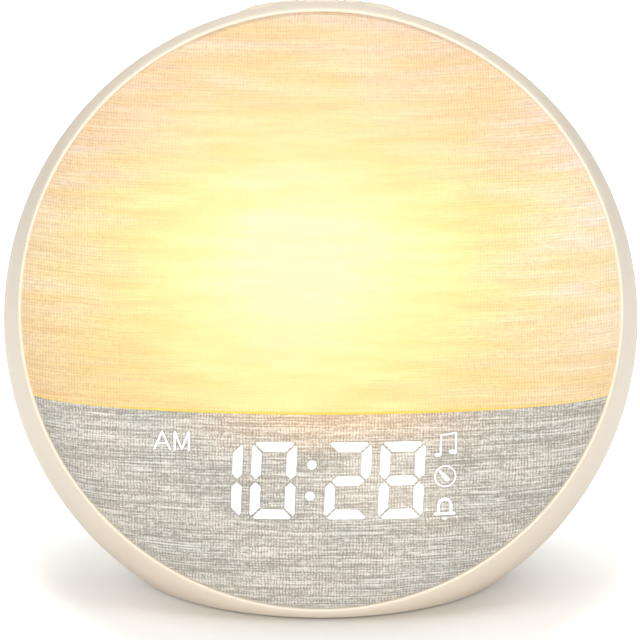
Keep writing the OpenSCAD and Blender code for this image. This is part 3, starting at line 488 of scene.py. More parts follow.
def moulded(name, colour, gloss=0.42, grain=4500.0, drift=0.04, relief=0.15, coat=0.0):
    """A moulded plastic, rubber or paper finish."""
    finish, shader, point = new_finish(name)
    surface = use(mould_grain, Point=point, Colour=colour, Grain=grain, Drift=drift, Gloss=gloss)
    put(shader, Base_Color=surface["Colour"], Roughness=surface["Roughness"], Coat_Weight=coat,
        Normal=bumped(surface["Height"], relief, 0.00004))
    return finish


ivory = moulded("ivory_abs", (0.84, 0.75, 0.628), 0.46, 3800.0, 0.03, 0.12)
for shell, name in ((front_shell, "front_shell"), (rear_shell, "rear_shell")):
    shell.data.materials.append(ivory)
    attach(shell, "root")
    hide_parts(name)

# ---- Trim ring ----
# A thin glossier ring around the cloth, moulded in a lighter cream ABS. Its skirt is
# pressed into the front shell and clamps the cloth's turned-in edge.
bead_r = 0.55
bezel_in = cloth_r + 0.03
bezel_outline = ([(bezel_in, -seat_depth), (bezel_in, -bead_r)]
                 + arc(lip_r - bead_r, -bead_r, bead_r, 180, 0, 12)
                 + [(flare_r(1.0), -1.0), (seat_r, -1.0), (seat_r, -seat_depth)])
trim_ring = finished("trim_ring", turned(bezel_outline, 320), 50)
cream = moulded("cream_abs", (0.825, 0.735, 0.605), 0.42, 5200.0, 0.02, 0.06)
trim_ring.data.materials.append(cream)
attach(trim_ring, "root")
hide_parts("front_bezel")

# ---- Linen front ----
# One disc of plain-woven slub linen, stretched over the moulded domes and turned in
# behind the trim ring. The lamp shines through it above the divider, and the display's
# light guides end right behind it below.
dome_rise = 19.7
dome_round = 1.03
dome_foot = sqrt(1 - 1 / dome_round ** 2)
skirt_depth, skirt_taper, skirt_rows = 4.6, 0.08, 4
cloth_rings, cloth_steps = 110, 300
row_rise = 0.27


def dome_a(radius):
    """Height of the dome in front of the cloth's edge."""
    return dome_rise * (sqrt(1 - (radius / dome_round / cloth_r) ** 2) - dome_foot) / (1 - dome_foot)


bm = bmesh.new()
threads = bm.loops.layers.uv.new("threads")
ring_r = [cloth_r * sin(radians(90 * i / cloth_rings)) for i in range(cloth_rings + 1)]
along = [0.0]
for inner, outer in zip(ring_r, ring_r[1:]):
    along.append(along[-1] + sqrt((outer - inner) ** 2 + (dome_a(outer) - dome_a(inner)) ** 2))
profile = list(zip(ring_r, [dome_a(r) for r in ring_r], along))
profile += [(cloth_r - skirt_taper * share, -skirt_depth * share, along[-1] + skirt_depth * share)
            for share in [(i + 1) / skirt_rows for i in range(skirt_rows)]]
# The weft is laid so that its rows look level and straight from the front
placed = {}
rows = []
for radius, ahead, reach in profile:
    row = []
    for i in range(cloth_steps if radius > 0 else 1):
        x, u = radius * cos(2 * pi * i / cloth_steps), radius * sin(2 * pi * i / cloth_steps)
        spread = 1 + max(0.0, reach - along[-1]) / cloth_r
        vert = bm.verts.new(in_place(x, u, ahead))
        placed[vert] = (x * spread, u * spread + row_rise * (ahead - dome_rise))
        row.append(vert)
    rows.append(row)
for low, high in zip(rows, rows[1:]):
    for i in range(cloth_steps):
        corners = [low[i % len(low)], high[i], high[(i + 1) % cloth_steps], low[(i + 1) % len(low)]]
        face = bm.faces.new(list(dict.fromkeys(corners)))
        for loop in face.loops:
            loop[threads].uv = placed[loop.vert]
divider_z = 57.79 * mm
# The cloth in front of the display has a second finish, which also draws its figures
display_box = (-50.0, 42.0, -62.5, -30.5)
for face in bm.faces:
    middle = face.calc_center_median() - rim_centre
    x, u = middle.x / mm, middle.dot(upward) / mm
    in_window = display_box[0] < x < display_box[1] and display_box[2] < u < display_box[3]
    face.material_index = 1 if in_window else 0
linen_front = finished("linen_front", bm, 60)
thickness = linen_front.modifiers.new("cloth_thickness", "SOLIDIFY")
thickness.thickness = 0.6 * mm
thickness.offset = -1.0


def blended(factor, first, second, mode="MIX"):
    """Two colours mixed by a factor."""
    return node("Mix", factor, *[None] * 5, first, second, out=2, data_type="RGBA", blend_type=mode)


def stretched(vector, scale):
    return node("Mapping", vector, None, None, scale)


# Plain weave with uneven threads, from coordinates in millimetres along the cloth. Fine
# weft rows differ in tone along their length. Dark dashes between the warps lie in rows
# that stronger wefts part, and show more in some patches than in others.
linen_weave, given, taken = new_group(
    "linen_weave", {"Threads": "Vector", "Warp": 0.80, "Weft": 0.31, "Waver": 0.35},
    {"Gap": "Float", "Slub": "Float", "Patch": "Float", "Height": "Float"})
sway = noise(given["Threads"], 0.05, 1.0, 0.5)["Color"]
sway = node("VectorMath", sway, (0.5, 0.5, 0.5), operation="SUBTRACT")
swayed = node("VectorMath", given["Threads"], scaled(sway, given["Waver"] * 4.0), operation="ADD")
parts = node("SeparateXYZ", swayed)
crowding = noise(swayed, 0.32, 1.0, 0.5)
warp_at = (crowding * 0.8 + parts["X"]) / given["Warp"]
weft_at = parts["Y"] / given["Weft"]
knot_l, slub_w, dash_l = 0.40, 1.15, 0.72
warp_no, weft_no = floor(warp_at), floor(weft_at)


def thread_tone(count, position, stretch, spread):
    """Random tone of each thread that drifts along its length."""
    return noise(node("CombineXYZ", position * stretch, count * spread), 1.0, 1.0, 0.5) - 0.5


def cell_value(across, up):
    """One random number for each numbered cell."""
    return node("TexWhiteNoise", node("CombineXYZ", across, up), noise_dimensions="2D")["Value"]


def wave(position, turn=pi):
    return abs((position * turn).step("SINE"))


long_slub = thread_tone(weft_no, parts["X"], 0.045, 7.31)
short_slub = thread_tone(weft_no, parts["X"], 0.24, 3.77)
warp_tone = thread_tone(warp_no, parts["Y"], 0.15, 5.93)
knots = cell_value(floor(parts["X"] / knot_l), weft_no) - 0.5
# Here and there a long pale slub lies on the weave
slub_at = parts["Y"] / slub_w
thick_tone = thread_tone(floor(slub_at), parts["X"], 0.055, 2.59)
thick_slub = faded(abs(slub_at.step("FRACT") - 0.5), 0.25, 0.10) * faded(thick_tone, 0.06, 0.20)
slub = long_slub * 3.2 + short_slub * 2.0 + warp_tone * 0.4 + knots * 0.9 + thick_slub * 0.75
patch = noise(stretched(swayed, (0.045, 0.085, 1.0)), 1.0, 3.0, 0.55)
between_warps = (1.0 - wave(warp_at)) ** 2.1
between_wefts = (1.0 - wave(weft_at, pi * 0.38)) ** 1.6
openness = faded(noise(swayed, 0.75, 2.0, 0.6), 0.33, 0.66, 0.4, 1.2)
# Each dash takes its own depth, and those of the next warp lie half a step lower
dash_at = warp_no * 0.5 + parts["Y"] / dash_l
dash_depth = cell_value(warp_no, floor(dash_at)) * 2.0 + 0.3
dashes = between_warps * faded(wave(dash_at), 0.1, 0.7) * dash_depth
dashes = dashes * faded(patch, 0.30, 0.62, 0.65, 1.5)
lines = between_wefts * faded(patch, 0.66, 0.36, 0.25, 0.9)
gap = ((dashes + lines) * openness).step("MULTIPLY", 1.0 - thick_slub * 0.8, clamp=True)
put(taken, Gap=gap, Slub=slub, Patch=patch, Height=slub * 0.5 - gap)

# Light of the lamp behind the cloth, from a point in millimetres on the housing's axis.
# It is whitest in the middle, and the weft carries it sideways in long pale bands.
lamp_light, given, taken = new_group(
    "lamp_light", {"Point": "Vector", "Above divider": "Float"},
    {"Lit": "Float", "Glow": "Color", "Depth": "Float", "Spill": "Color", "Spilt": "Float",
     "Line": "Float"})
glow_up, glow_across, glow_reach = 9.0, -4.0, 100.0
point, above = given["Point"], given["Above divider"]
parts = node("SeparateXYZ", point)
across, up = parts["X"], parts["Y"]
level = node("CombineXYZ", across, parts["Z"] * row_rise + up)
drift = noise(point, 0.022, 3.0, 0.55)
bands = noise(stretched(level, (0.026, 0.22, 0.0)), 1.0, 4.0, 0.65)
uneven = drift * 24.0 + (bands * 48.0 - 36.0)
reach = length(node("CombineXYZ", across - glow_across, up - glow_up))
warm = node("ValToRGB", (reach + uneven) / glow_reach)
glow_stops = ((0.0, (0.60, 0.57, 0.32)), (0.12, (0.60, 0.57, 0.31)), (0.20, (0.60, 0.575, 0.235)),
              (0.28, (0.60, 0.575, 0.18)), (0.38, (0.60, 0.54, 0.135)), (0.50, (0.59, 0.475, 0.14)),
              (0.66, (0.585, 0.445, 0.205)), (0.80, (0.57, 0.425, 0.26)))
ramp = warm.socket.node.color_ramp
for place, colour in glow_stops[1:-1]:
    ramp.elements.new(place)
for stop, (place, colour) in zip(ramp.elements, glow_stops):
    stop.position = place
    stop.color = (*colour, 1)
streaks = noise(stretched(level, (0.035, 0.26, 0.0)), 1.0, 3.0, 0.5)
streak_tone = blended(faded(streaks, 0.30, 0.70), (0.985, 0.92, 0.58), (1.02, 1.11, 1.40))
low = faded(up, 12.0, -26.0)
side = faded(abs(across), 10.0, 72.0)
# Low, high, left, right, outwards, and low at the sides
for share, tint in ((low, (1.0, 0.95, 0.80)), (faded(up, 18.0, 50.0), (0.98, 0.84, 1.02)),
                    (faded(across, -25.0, -75.0), (0.98, 0.96, 0.94)),
                    (faded(across, 28.0, 78.0), (1.05, 1.15, 1.30)),
                    (faded(reach, 14.0, 42.0, 0.22, 1.0), streak_tone),
                    (low * side, (0.97, 0.84, 0.66))):
    warm = blended(share, warm, tint, "MULTIPLY")
lit = faded(above, -0.12, 0.12)
line = faded(above, 0.95, 0.25) * faded(abs(across), 80.0, 25.0, 0.3, 1.0)
warm = blended(line, warm, (0.60, 0.45, 0.03))
# Painted shade: the glow is darkened along the cloth's upper edge, where it tucks in under the trim ring, as
# the ring's shadow
radius = length(node("VectorMath", point, (1, 1, 0), operation="MULTIPLY"))
tuck_painted_shade = faded(radius, cloth_r - 1.1, cloth_r - 0.5) * faded(up, 66.0, 75.0)
warm = blended(tuck_painted_shade, warm, (0.62, 0.58, 0.56), "MULTIPLY")
depth = faded(uneven * 0.5 + reach, 24.0, 76.0, 0.05, 1.0) + faded(across, 35.0, 75.0, 0.0, -0.2)
spill = faded(above, -14.0, 0.5) * faded(abs(across - 4.0), 50.0, 2.0) * (1.0 - lit)
stray = blended(lit, (0.03, 0.03, 0.03), (0, 0, 0))
# The display's own light spreads a little in the cloth around its last digits
haze = length(node("Mapping", point, (-0.70, 3.15, 0), None, (0.04, 0.066, 0)))
stray = blended(faded(haze, 1.0, 0.15), stray, (0.145, 0.115, 0.085))
put(taken, Lit=lit, Glow=warm, Depth=depth, Spilt=spill, Line=line * lit,
    Spill=blended(spill, stray, (0.30, 0.14, 0.05)))

# Distance in millimetres from the lit bars of one seven-segment digit, with mitred ends
bars = ("Top", "Upper right", "Lower right", "Bottom", "Lower left", "Upper left", "Middle")
digit_light, given, taken = new_group(
    "seven_segment_digit", {"Point": "Vector", "Centre": "Float", "Width": 11.8, "Height": 20.5,
                            "Bar": 2.6, "Slant": 0.0437, **{name: 1.0 for name in bars}},
    {"Distance": "Float"})
bar_gap, corner_cut, unlit = 0.42, 1.35, 9.0
parts = node("SeparateXYZ", given["Point"])
bar, y = given["Bar"], parts["Y"]
x = parts["X"] - given["Centre"] - y * given["Slant"]
out_x = given["Width"] * -0.5 + abs(x)
out_y = given["Height"] * -0.5 + abs(y)
mitre = out_x - out_y
corner = out_x + out_y + corner_cut


def bar_shape(outward, *ends):
    """Distance from a bar whose outer side is at nought, closed by its ends."""
    shape = outward.step("MAXIMUM", outward * -1.0 - bar)
    for end in ends:
        shape = shape.step("MAXIMUM", end * sqrt(0.5))
    return shape


def lit_only(shape, upper, lower):
    """A bar's distance, pushed out of reach where the bar that lies here is dark."""
    on = y.step("GREATER_THAN", 0.0) * (upper - lower) + lower
    return (1.0 - on) * unlit + shape


def by_side(left, right):
    return x.step("GREATER_THAN", 0.0) * (given[right] - given[left]) + given[left]


level = bar_shape(out_y, mitre + bar_gap, corner)
waist = abs(bar * 0.5 + out_x) - abs(y)
upright = bar_shape(out_x, bar_gap - mitre, corner, waist + bar_gap)
middle = bar_shape(bar * -0.5 + abs(y), out_x + abs(y) + (bar * 0.5 + bar_gap))
upright = lit_only(upright, by_side("Upper left", "Upper right"), by_side("Lower left", "Lower right"))
nearest = lit_only(level, given["Top"], given["Bottom"]).step("MINIMUM", upright)
nearest = nearest.step("MINIMUM", lit_only(middle, given["Middle"], given["Middle"]))
put(taken, Distance=nearest)

# Distance from one straight stroke with round ends, for the letters and the three signs
stroke_light, given, taken = new_group(
    "display_stroke", {"Point": "Vector", "Start": "Vector", "Run": "Vector", "Half width": 0.3},
    {"Distance": "Float"})


def dot(first, second):
    return node("VectorMath", first, second, operation="DOT_PRODUCT")["Value"]


run = given["Run"]
from_start = node("VectorMath", given["Point"], given["Start"], operation="SUBTRACT")
share = dot(from_start, run).step("DIVIDE", dot(run, run), clamp=True)
apart = node("VectorMath", from_start, scaled(run, share), operation="DISTANCE")["Value"]
put(taken, Distance=apart - given["Half width"])

# Where the figures lie on the display's own leaning plane, in millimetres
display_drop, display_ahead, display_lean = 46.85, 14.45, radians(13)
digit_centres = (-26.6, -12.45, 7.15, 21.25)
digit_bars = ((0, 1, 1, 0, 0, 0, 0), (1, 1, 1, 1, 1, 1, 0),
              (1, 1, 0, 1, 1, 0, 1), (1, 1, 1, 1, 1, 1, 1))
colon_at = ((-2.3, 4.3), (-2.85, -4.0))
colon_r = 1.2


def run_of(points, half_width):
    """Strokes that join points one after another."""
    return [(a, b, half_width) for a, b in zip(points, points[1:])]


letter_foot, letter_top = 7.75, 12.4
letter_a = (run_of([(-43.8, letter_foot), (-41.7, letter_top), (-39.6, letter_foot)], 0.25)
            + [((-43.1, 9.3), (-40.3, 9.3), 0.23)])
letter_m = run_of([(-38.4, letter_foot), (-38.35, letter_top), (-36.5, letter_foot + 0.2),
                   (-34.65, letter_top), (-34.6, letter_foot)], 0.26)
note_sign = (run_of([(31.45, 6.6), (31.6, 11.7), (35.55, 12.25), (35.5, 7.5)], 0.24)
             + [((30.35, 6.6), (31.2, 6.6), 0.48), ((34.1, 7.3), (35.3, 7.3), 0.5)])
timer_sign = (run_of(arc(32.7, 0.8, 2.78, 0, 360, 14), 0.2)
              + [((31.3, 2.15), (32.9, 0.3), 0.3), ((32.2, 1.15), (33.3, 0.0), 0.58)])
bell_sign = (run_of([(31.0, -9.2)] + arc(32.65, -6.95, 1.65, 180, 0, 7) + [(34.3, -9.2)], 0.38)
             + [((30.1, -9.3), (35.15, -9.3), 0.38), ((32.3, -10.55), (32.9, -10.55), 0.36)])


def on_plane(point, origin, scale, turn=0.0):
    """Coordinates from an origin on the front's own leaning plane."""
    return node("Mapping", point, tuple(origin), (pi / 2 - lean + turn, 0, 0), (scale, scale, scale),
                vector_type="TEXTURE")


def linen(name, with_display):
    """The cloth's finish: weave, the lamp's glow, and the display's light where it is."""
    finish, shader, point = new_finish(name)
    finish.cycles.emission_sampling = "NONE"
    above = (node("SeparateXYZ", point)["Z"] - divider_z) * (1 / mm)
    weave = use(linen_weave, Threads=node("UVMap", tree=point.tree, uv_map="threads"))
    lamp = use(lamp_light, Point=on_plane(point, rim_centre, mm), Above_divider=above)
    gap, slub, depth = weave["Gap"], weave["Slub"], lamp["Depth"]
    grey = blended(faded(slub, -0.65, 0.70), (0.395, 0.37, 0.327), (0.748, 0.73, 0.694))
    patched = blended(faded(weave["Patch"], 0.38, 0.62), (0.96, 0.97, 0.96), (1.02, 1.0, 0.97))
    grey = blended(1.0, grey, patched, "MULTIPLY")
    grey = blended(gap * 0.8, grey, (0.175, 0.157, 0.13))
    # Painted light: the grey cloth's own colour is tinted warm below the divider, where the lamp's light
    # spills
    grey = blended(lamp["Spilt"] * 0.8, grey, (1.0, 0.92, 0.80), "MULTIPLY")
    # Painted light: above the divider, where the lamp shines through, the cloth's own colour is a warmer,
    # darker brown than the grey below, with the divider's line tinted into it
    warm = blended(gap * depth * 0.3, (0.365, 0.318, 0.23), (0.235, 0.16, 0.075))
    warm = blended(lamp["Line"], warm, (0.35, 0.26, 0.067))
    base = blended(lamp["Lit"], grey, warm)
    tone = blended(faded(slub, -0.6, 0.7), (0.89, 0.83, 0.76), (1.08, 1.15, 1.22))
    tone = blended(depth, (1, 1, 1), tone)
    gaps_lit = gap.step("MULTIPLY", depth, clamp=True)
    glow = blended(gaps_lit, lamp["Glow"], (0.83, 0.66, 0.53), "MULTIPLY")
    glow = scaled(blended(1.0, glow, tone, "MULTIPLY"), lamp["Lit"])
    glow = node("VectorMath", glow, lamp["Spill"], operation="ADD")
    if with_display:
        origin = in_place(0, -display_drop, display_ahead)
        flat = node("VectorMath", on_plane(point, origin, mm, display_lean), (1, 1, 0),
                    operation="MULTIPLY")
        lights = [use(digit_light, Point=flat, Centre=centre, **{
            name.replace(" ", "_"): float(on) for name, on in zip(bars, lit_bars)})
            for centre, lit_bars in zip(digit_centres, digit_bars)]
        strokes = [((x, y), (x + 0.01, y), colon_r) for x, y in colon_at]
        strokes += letter_a + letter_m + note_sign + timer_sign + bell_sign
        lights += [use(stroke_light, Point=flat, Start=(x0, y0, 0), Run=(x1 - x0, y1 - y0, 0),
                       Half_width=half_width) for (x0, y0), (x1, y1), half_width in strokes]
        apart = lights[0]
        for light in lights[1:]:
            apart = apart.step("MINIMUM", light)
        # Painted shade: the cloth's colour is darkened in a thin band round the lit figures and in the gaps
        # between their bars
        base = blended(faded(apart, 0.55, 0.15, 0.0, 0.3), base, (0.21, 0.20, 0.185))
        glow = blended(faded(apart, 0.08, -0.08), glow, (0.85, 0.86, 0.88))
    put(shader, Base_Color=base, Emission_Color=glow, Emission_Strength=1.0, Roughness=0.85,
        Specular_IOR_Level=0.25, Sheen_Weight=0.15, Normal=bumped(weave["Height"], 0.5, 0.00012))
    return finish


linen_front.data.materials.append(linen("slub_linen", False))
linen_front.data.materials.append(linen("slub_linen_display", True))
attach(linen_front, "root")
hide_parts("fabric_cover")
cut_across = 2 * along[-1] * mm + 2 * skirt_depth * mm
pi * cut_across ** 2 / 4

# ---- Key pad and keys ----
# A curved pad moulded in the housing's ivory is trapped between the shells on top. Five
# lighter keys stand a little proud of it, each with a printed sign.
pad_rise, pad_bevel = 0.7, 3.0
pad_end, end_bevel = 5.0, 4.5
key_rise = 0.3


def crowned(name, across, width, depth, corner, height_at, foot_up, insets, rings=10):
    """A piece whose top follows the housing: walls from foot_up, then loops that step
    inwards by each inset, and even loops to the middle."""
    bm = bmesh.new()

    def loop(points, drop=0.0, share=1.0):
        return [bm.verts.new(in_place(
            across + x * share, height_at(across + x * share, pad_back - y * share) - drop,
            y * share - pad_back)) for x, y in points]

    rows = []
    for inset, drop in insets:
        inner = rounded_outline(width - 2 * inset, depth - 2 * inset, max(0.2, corner - inset), 10)
        rows.append(loop(inner, drop))
    rows += [loop(inner, share=1 - k / rings) for k in range(1, rings)]
    foot = [bm.verts.new(in_place(across + x, foot_up, y - pad_back))
            for x, y in rounded_outline(width, depth, corner, 10)]
    walls(bm, [foot] + rows)
    top = bm.verts.new(in_place(across, height_at(across, pad_back), -pad_back))
    for i in range(len(foot)):
        bm.faces.new((rows[-1][i], rows[-1][(i + 1) % len(foot)], top))
    bm.faces.new(foot[::-1])
    bmesh.ops.recalc_face_normals(bm, faces=bm.faces)
    return finished(name, bm, 50)


def smooth_step(value, start, end):
    """Nought at start and one at end, with a smooth run between."""
    t = min(1.0, max(0.0, (value - start) / (end - start)))
    return t * t * (3 - 2 * t)


def pad_top(x, depth):
    """Height of the pad's top up the front, fading to the housing at its edge."""
    inward = min(pad_w / 2 - abs(x), pad_d / 2 - abs(depth - pad_back))
    bevel = end_bevel if pad_w / 2 - abs(x) < pad_end else pad_bevel
    return sqrt((housing_r(depth) + pad_rise * smooth_step(inward, -0.3, bevel)) ** 2 - x * x)


def key_top(x, depth):
    return sqrt((housing_r(depth) + pad_rise + key_rise) ** 2 - x * x)


pad_foot, key_foot, well_up = 80.0, 83.6, (78, 95)
pad_edge = [(0, 0.15), (0.15, 0.03), (0.4, 0), (1, 0), (1.7, 0), (2.4, 0), (3.2, 0), (4, 0)]
key_edge = [(0, 0.45), (0.05, 0.24), (0.17, 0.09), (0.34, 0.015), (0.6, 0), (1.0, 0)]
key_pad = crowned("key_pad", 0, pad_w, pad_d, pad_corner, pad_top, pad_foot, pad_edge, 16)
key_places = (("light_down", -15.8, 5.6), ("light_up", -9.0, 5.6), ("snooze", 0.0, 10.0),
              ("sound_down", 9.0, 5.6), ("sound_up", 15.8, 5.6))
key_d, key_corner, key_gap = 14.0, 2.0, 0.3
wells = [finished("key_well", prism([
    [in_place(at + x, up, y - pad_back)
     for x, y in rounded_outline(width + 2 * key_gap, key_d + 2 * key_gap, key_corner + key_gap)]
    for up in well_up])) for name, at, width in key_places]
carved(key_pad, wells, 50)
key_pad.data.materials.append(ivory)
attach(key_pad, "root")
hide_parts("key_frame")
key_ivory = moulded("key_abs", (0.92, 0.85, 0.735), 0.36, 5200.0, 0.02, 0.08)
sign_ink = moulded("sign_ink", (0.42, 0.37, 0.31), 0.55, 5200.0, 0.02, 0.03)


def printed(name, across, back, strokes):
    """Thin printed strokes on the top of a key, as one raised film."""
    sunk, film = -0.1, 0.04
    bm = bmesh.new()
    for (x0, y0), (x1, y1), half in strokes:
        turn = atan2(y1 - y0, x1 - x0)
        bend = [turn + pi / 2 * (i / 3 - 1) for i in range(7)]
        ring = [(x1 + half * cos(t), y1 + half * sin(t)) for t in bend]
        ring += [(x0 - half * cos(t), y0 - half * sin(t)) for t in bend]
        rows = [[bm.verts.new(in_place(across + x, key_top(across + x, back - y) + lift, y - back))
                 for x, y in ring] for lift in (sunk, film)]
        walls(bm, rows)
        bm.faces.new(rows[0][::-1])
        bm.faces.new(rows[1])
    bmesh.ops.recalc_face_normals(bm, faces=bm.faces)
    return finished(name, bm, 30)


sun_rays = [((1.35 * cos(t), 1.35 * sin(t)), (1.85 * cos(t), 1.85 * sin(t)), 0.14)
            for t in [2 * pi * i / 8 for i in range(8)]]
sun = run_of(arc(0, 0, 0.75, 0, 360, 10), 0.14) + sun_rays
note = [((-0.9, -1.1), (-0.6, -1.1), 0.42), ((-0.3, -1.1), (-0.3, 1.2), 0.14),
        ((-0.3, 1.2), (0.9, 0.6), 0.2)]
minus = [((-1.0, 0), (1.0, 0), 0.2)]
plus = minus + [((0, -1.0), (0, 1.0), 0.2)]
upper_at, lower_at = 2.6, -2.8
key_signs = {"snooze": run_of([(-1.6, 2.1), (1.6, 2.1), (-1.6, -2.1), (1.6, -2.1)], 0.24)}
for name, upper, lower in (("light_down", sun, minus), ("light_up", sun, plus),
                           ("sound_down", note, minus), ("sound_up", note, plus)):
    key_signs[name] = [((a[0], a[1] + up), (b[0], b[1] + up), half)
                       for sign, up in ((upper, upper_at), (lower, lower_at)) for a, b, half in sign]
for name, at, width in key_places:
    key = crowned("key_cap_" + name, at, width, key_d, key_corner, key_top, key_foot, key_edge, 8)
    key.data.materials.append(key_ivory)
    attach(key, "key_" + name)
    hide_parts("key_" + name)
    sign = printed("sign_" + name, at, pad_back, key_signs[name])
    sign.data.materials.append(sign_ink)
    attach(sign, "key_" + name)

# ---- Speaker grille ----
# A round ABS plate snapped into the rear face, with rings of drilled sound holes. Black
# acoustic cloth is glued behind it.
grille_sizes = {"Plate radius": 24.9 * mm, "Hole radius": 1.0 * mm, "Pitch": 4.1 * mm,
                "Thickness": grille_t * mm, "Holes": 91}
grille_tree, given, taken = new_group(
    "drilled_grille", {"Geometry": "Geometry", **grille_sizes, "Finish": "Material"},
    {"Geometry": "Geometry"}, "GeometryNodeTree")


def circle(radius, steps):
    """A round curve."""
    return node("GeometryNodeCurvePrimitiveCircle", steps, None, None, None, radius)


def gathered(*pieces):
    """Several geometries as one."""
    together = node("GeometryNodeJoinGeometry", tree=tree_of(*pieces))
    for piece in pieces:
        fill(together.socket.node.inputs[0], piece)
    return together


def coated(geometry, finish):
    """What a tree has made, as plain geometry in its material."""
    return node("GeometryNodeSetMaterial", node("GeometryNodeRealizeInstances", geometry), None, finish)


# Hole number i stands on ring k = floor((3 + sqrt(12 i - 3)) / 6), which holds 6 k holes
number = node("GeometryNodeInputIndex", tree=grille_tree)
past_first = number.step("MAXIMUM", 1.0)
ring = floor(((past_first * 12.0 - 3.0).step("SQRT") + 3.0) / 6.0)
first = ring * (ring - 1.0) * 3.0 + 1.0
turn = (past_first - first) / ring * (pi / 3)
out = ring * given["Pitch"] * number.step("MINIMUM", 1.0)
spot = node("CombineXYZ", out * turn.step("COSINE"), out * turn.step("SINE"))
points = node("GeometryNodePoints", given["Holes"], spot)
holes = node("GeometryNodeInstanceOnPoints", points, None, circle(given["Hole radius"], 20))
holes = node("GeometryNodeRealizeInstances", holes)
sheet = node("GeometryNodeFillCurve", gathered(holes, circle(given["Plate radius"], 120)))
raised = node("GeometryNodeExtrudeMesh", sheet, None, None, given["Thickness"], False)
both_faces = gathered(raised, node("GeometryNodeFlipFaces", sheet))
welded = node("GeometryNodeMergeByDistance", both_faces, None, 0.001 * mm)
put(taken, Geometry=coated(welded, given["Finish"]))


def grown(name, group, values, finish, place):
    """Runs a geometry tree once and keeps its result as a plain mesh in its place."""
    made = added(name, bpy.data.meshes.new(name))
    live = made.modifiers.new("grown", "NODES")
    live.node_group = group
    keys = {s.name: s.identifier for s in group.interface.items_tree if s.in_out == "INPUT"}
    for label, value in {**values, "Finish": finish}.items():
        live[keys[label]] = value
    applied(made)
    made.data.transform(place)
    return made


def rear_place(across, up, ahead):
    """Turns a piece that was drawn facing +Z to face the rear, at a place in millimetres."""
    turn = Matrix((Vector((-1, 0, 0)), upward, -forward)).transposed().to_4x4()
    return Matrix.Translation(in_place(across, up, ahead)) @ turn


grille_ivory = moulded("grille_abs", (0.84, 0.745, 0.615), 0.48, 3800.0, 0.03, 0.12)
grille = grown("speaker_grille_plate", grille_tree, grille_sizes, grille_ivory,
               rear_place(0, grille_up, grille_t - back_depth))
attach(grille, "root")
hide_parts("speaker_grille")

# ---- Housing screws ----
# Four black-plated pan-head screws with cross recesses, sunk in the rear shell, which
# they hold to the front one.
screw_spread = {"Across": screw_across * mm, "Up": screw_up * mm}
screw_turn = 0.83
screw_tree, given, taken = new_group(
    "sunk_screws", {"Geometry": "Geometry", **screw_spread, "Screw": "Object", "Finish": "Material"},
    {"Geometry": "Geometry"}, "GeometryNodeTree")
number = node("GeometryNodeInputIndex", tree=screw_tree)
column = number.step("MODULO", 2.0) * 2.0 - 1.0
row = number.step("GREATER_THAN", 1.5) * 2.0 - 1.0
spot = node("CombineXYZ", column * given["Across"], row * given["Up"])
points = node("GeometryNodePoints", len(screw_at), spot)
one = node("GeometryNodeObjectInfo", given["Screw"])["Geometry"]
turns = node("CombineXYZ", None, None, number * screw_turn)
many = node("GeometryNodeInstanceOnPoints", points, None, one, None, None, turns)
put(taken, Geometry=coated(many, given["Finish"]))

head_r, head_h, shank_r, shank_l = 2.8, 1.9, 1.4, 10.0
screw_outline = [(0, -shank_l), (shank_r * 0.5, -shank_l), (shank_r, -shank_l + 1.2), (shank_r, 0),
                 (head_r, 0), *arc(head_r - 0.5, 0.6, 0.5, 0, 70, 4), (1.6, 1.75), (0.8, head_h),
                 (0, head_h)]
screw = finished("screw_pattern", turned(screw_outline, 32,
                                         placed=lambda x, y, z: mm * Vector((x, y, z))))
recess = []
for quarter in (0, pi / 2):
    loops = []
    for half, wide, h in ((0.25, 0.2, 0.5), (1.5, 0.34, 2.2)):
        loops.append([Matrix.Rotation(quarter, 3, "Z") @ (Vector((x, y, h)) * mm)
                      for x, y in ((-half, -wide), (half, -wide), (half, wide), (-half, wide))])
    recess.append(finished("recess_cutter", prism(loops)))
carved(screw, recess)


def metal(name, colour, rough, streaks=900.0):
    """A rolled or plated metal with fine streaks in its gloss."""
    finish, shader, point = new_finish(name)
    surface = use(mould_grain, Point=point, Colour=colour, Grain=streaks, Drift=0.10, Gloss=rough)
    put(shader, Metallic=1.0, Base_Color=surface["Colour"], Roughness=surface["Roughness"])
    return finish


black_plating = metal("black_plating", (0.10, 0.10, 0.105), 0.34)
screws = grown("sunk_screws", screw_tree, {**screw_spread, "Screw": screw}, black_plating,
               rear_place(0, 0, wall - back_depth))
bpy.data.objects.remove(screw)
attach(screws, "root")
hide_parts("housing_screws")

# ---- Foot ----
# An oval of soft black rubber, pushed into a recess in the underside, with a groove
# round it and softened edges.
foot_w, foot_l, foot_h = 84.0, 52.0, 1.8
groove_at, groove_w, groove_deep = 4.0, 1.6, 0.5


def oval_loop(inset, height, steps=96):
    turns = [2 * pi * i / steps for i in range(steps)]
    return [Vector(((foot_w / 2 - inset) * cos(t), (foot_l / 2 - inset) * sin(t), height)) * mm
            for t in turns]


groove_end = groove_at + groove_w
foot_loops = [(0.4, foot_h), (0.0, foot_h - 0.3), (0.0, 0.4), (0.12, 0.12), (0.4, 0.0),
              (groove_at - 0.15, 0.0), (groove_at, 0.12), (groove_at + 0.1, groove_deep),
              (groove_end - 0.1, groove_deep), (groove_end, 0.12), (groove_end + 0.15, 0.0), (14.0, 0.0)]
rubber_foot = finished("rubber_foot", prism([oval_loop(*loop) for loop in foot_loops]), 40)
rubber = moulded("foot_rubber", (0.045, 0.043, 0.041), 0.72, 2600.0, 0.10, 0.3)
rubber_foot.data.materials.append(rubber)
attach(rubber_foot, "root")
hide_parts("base_foot")

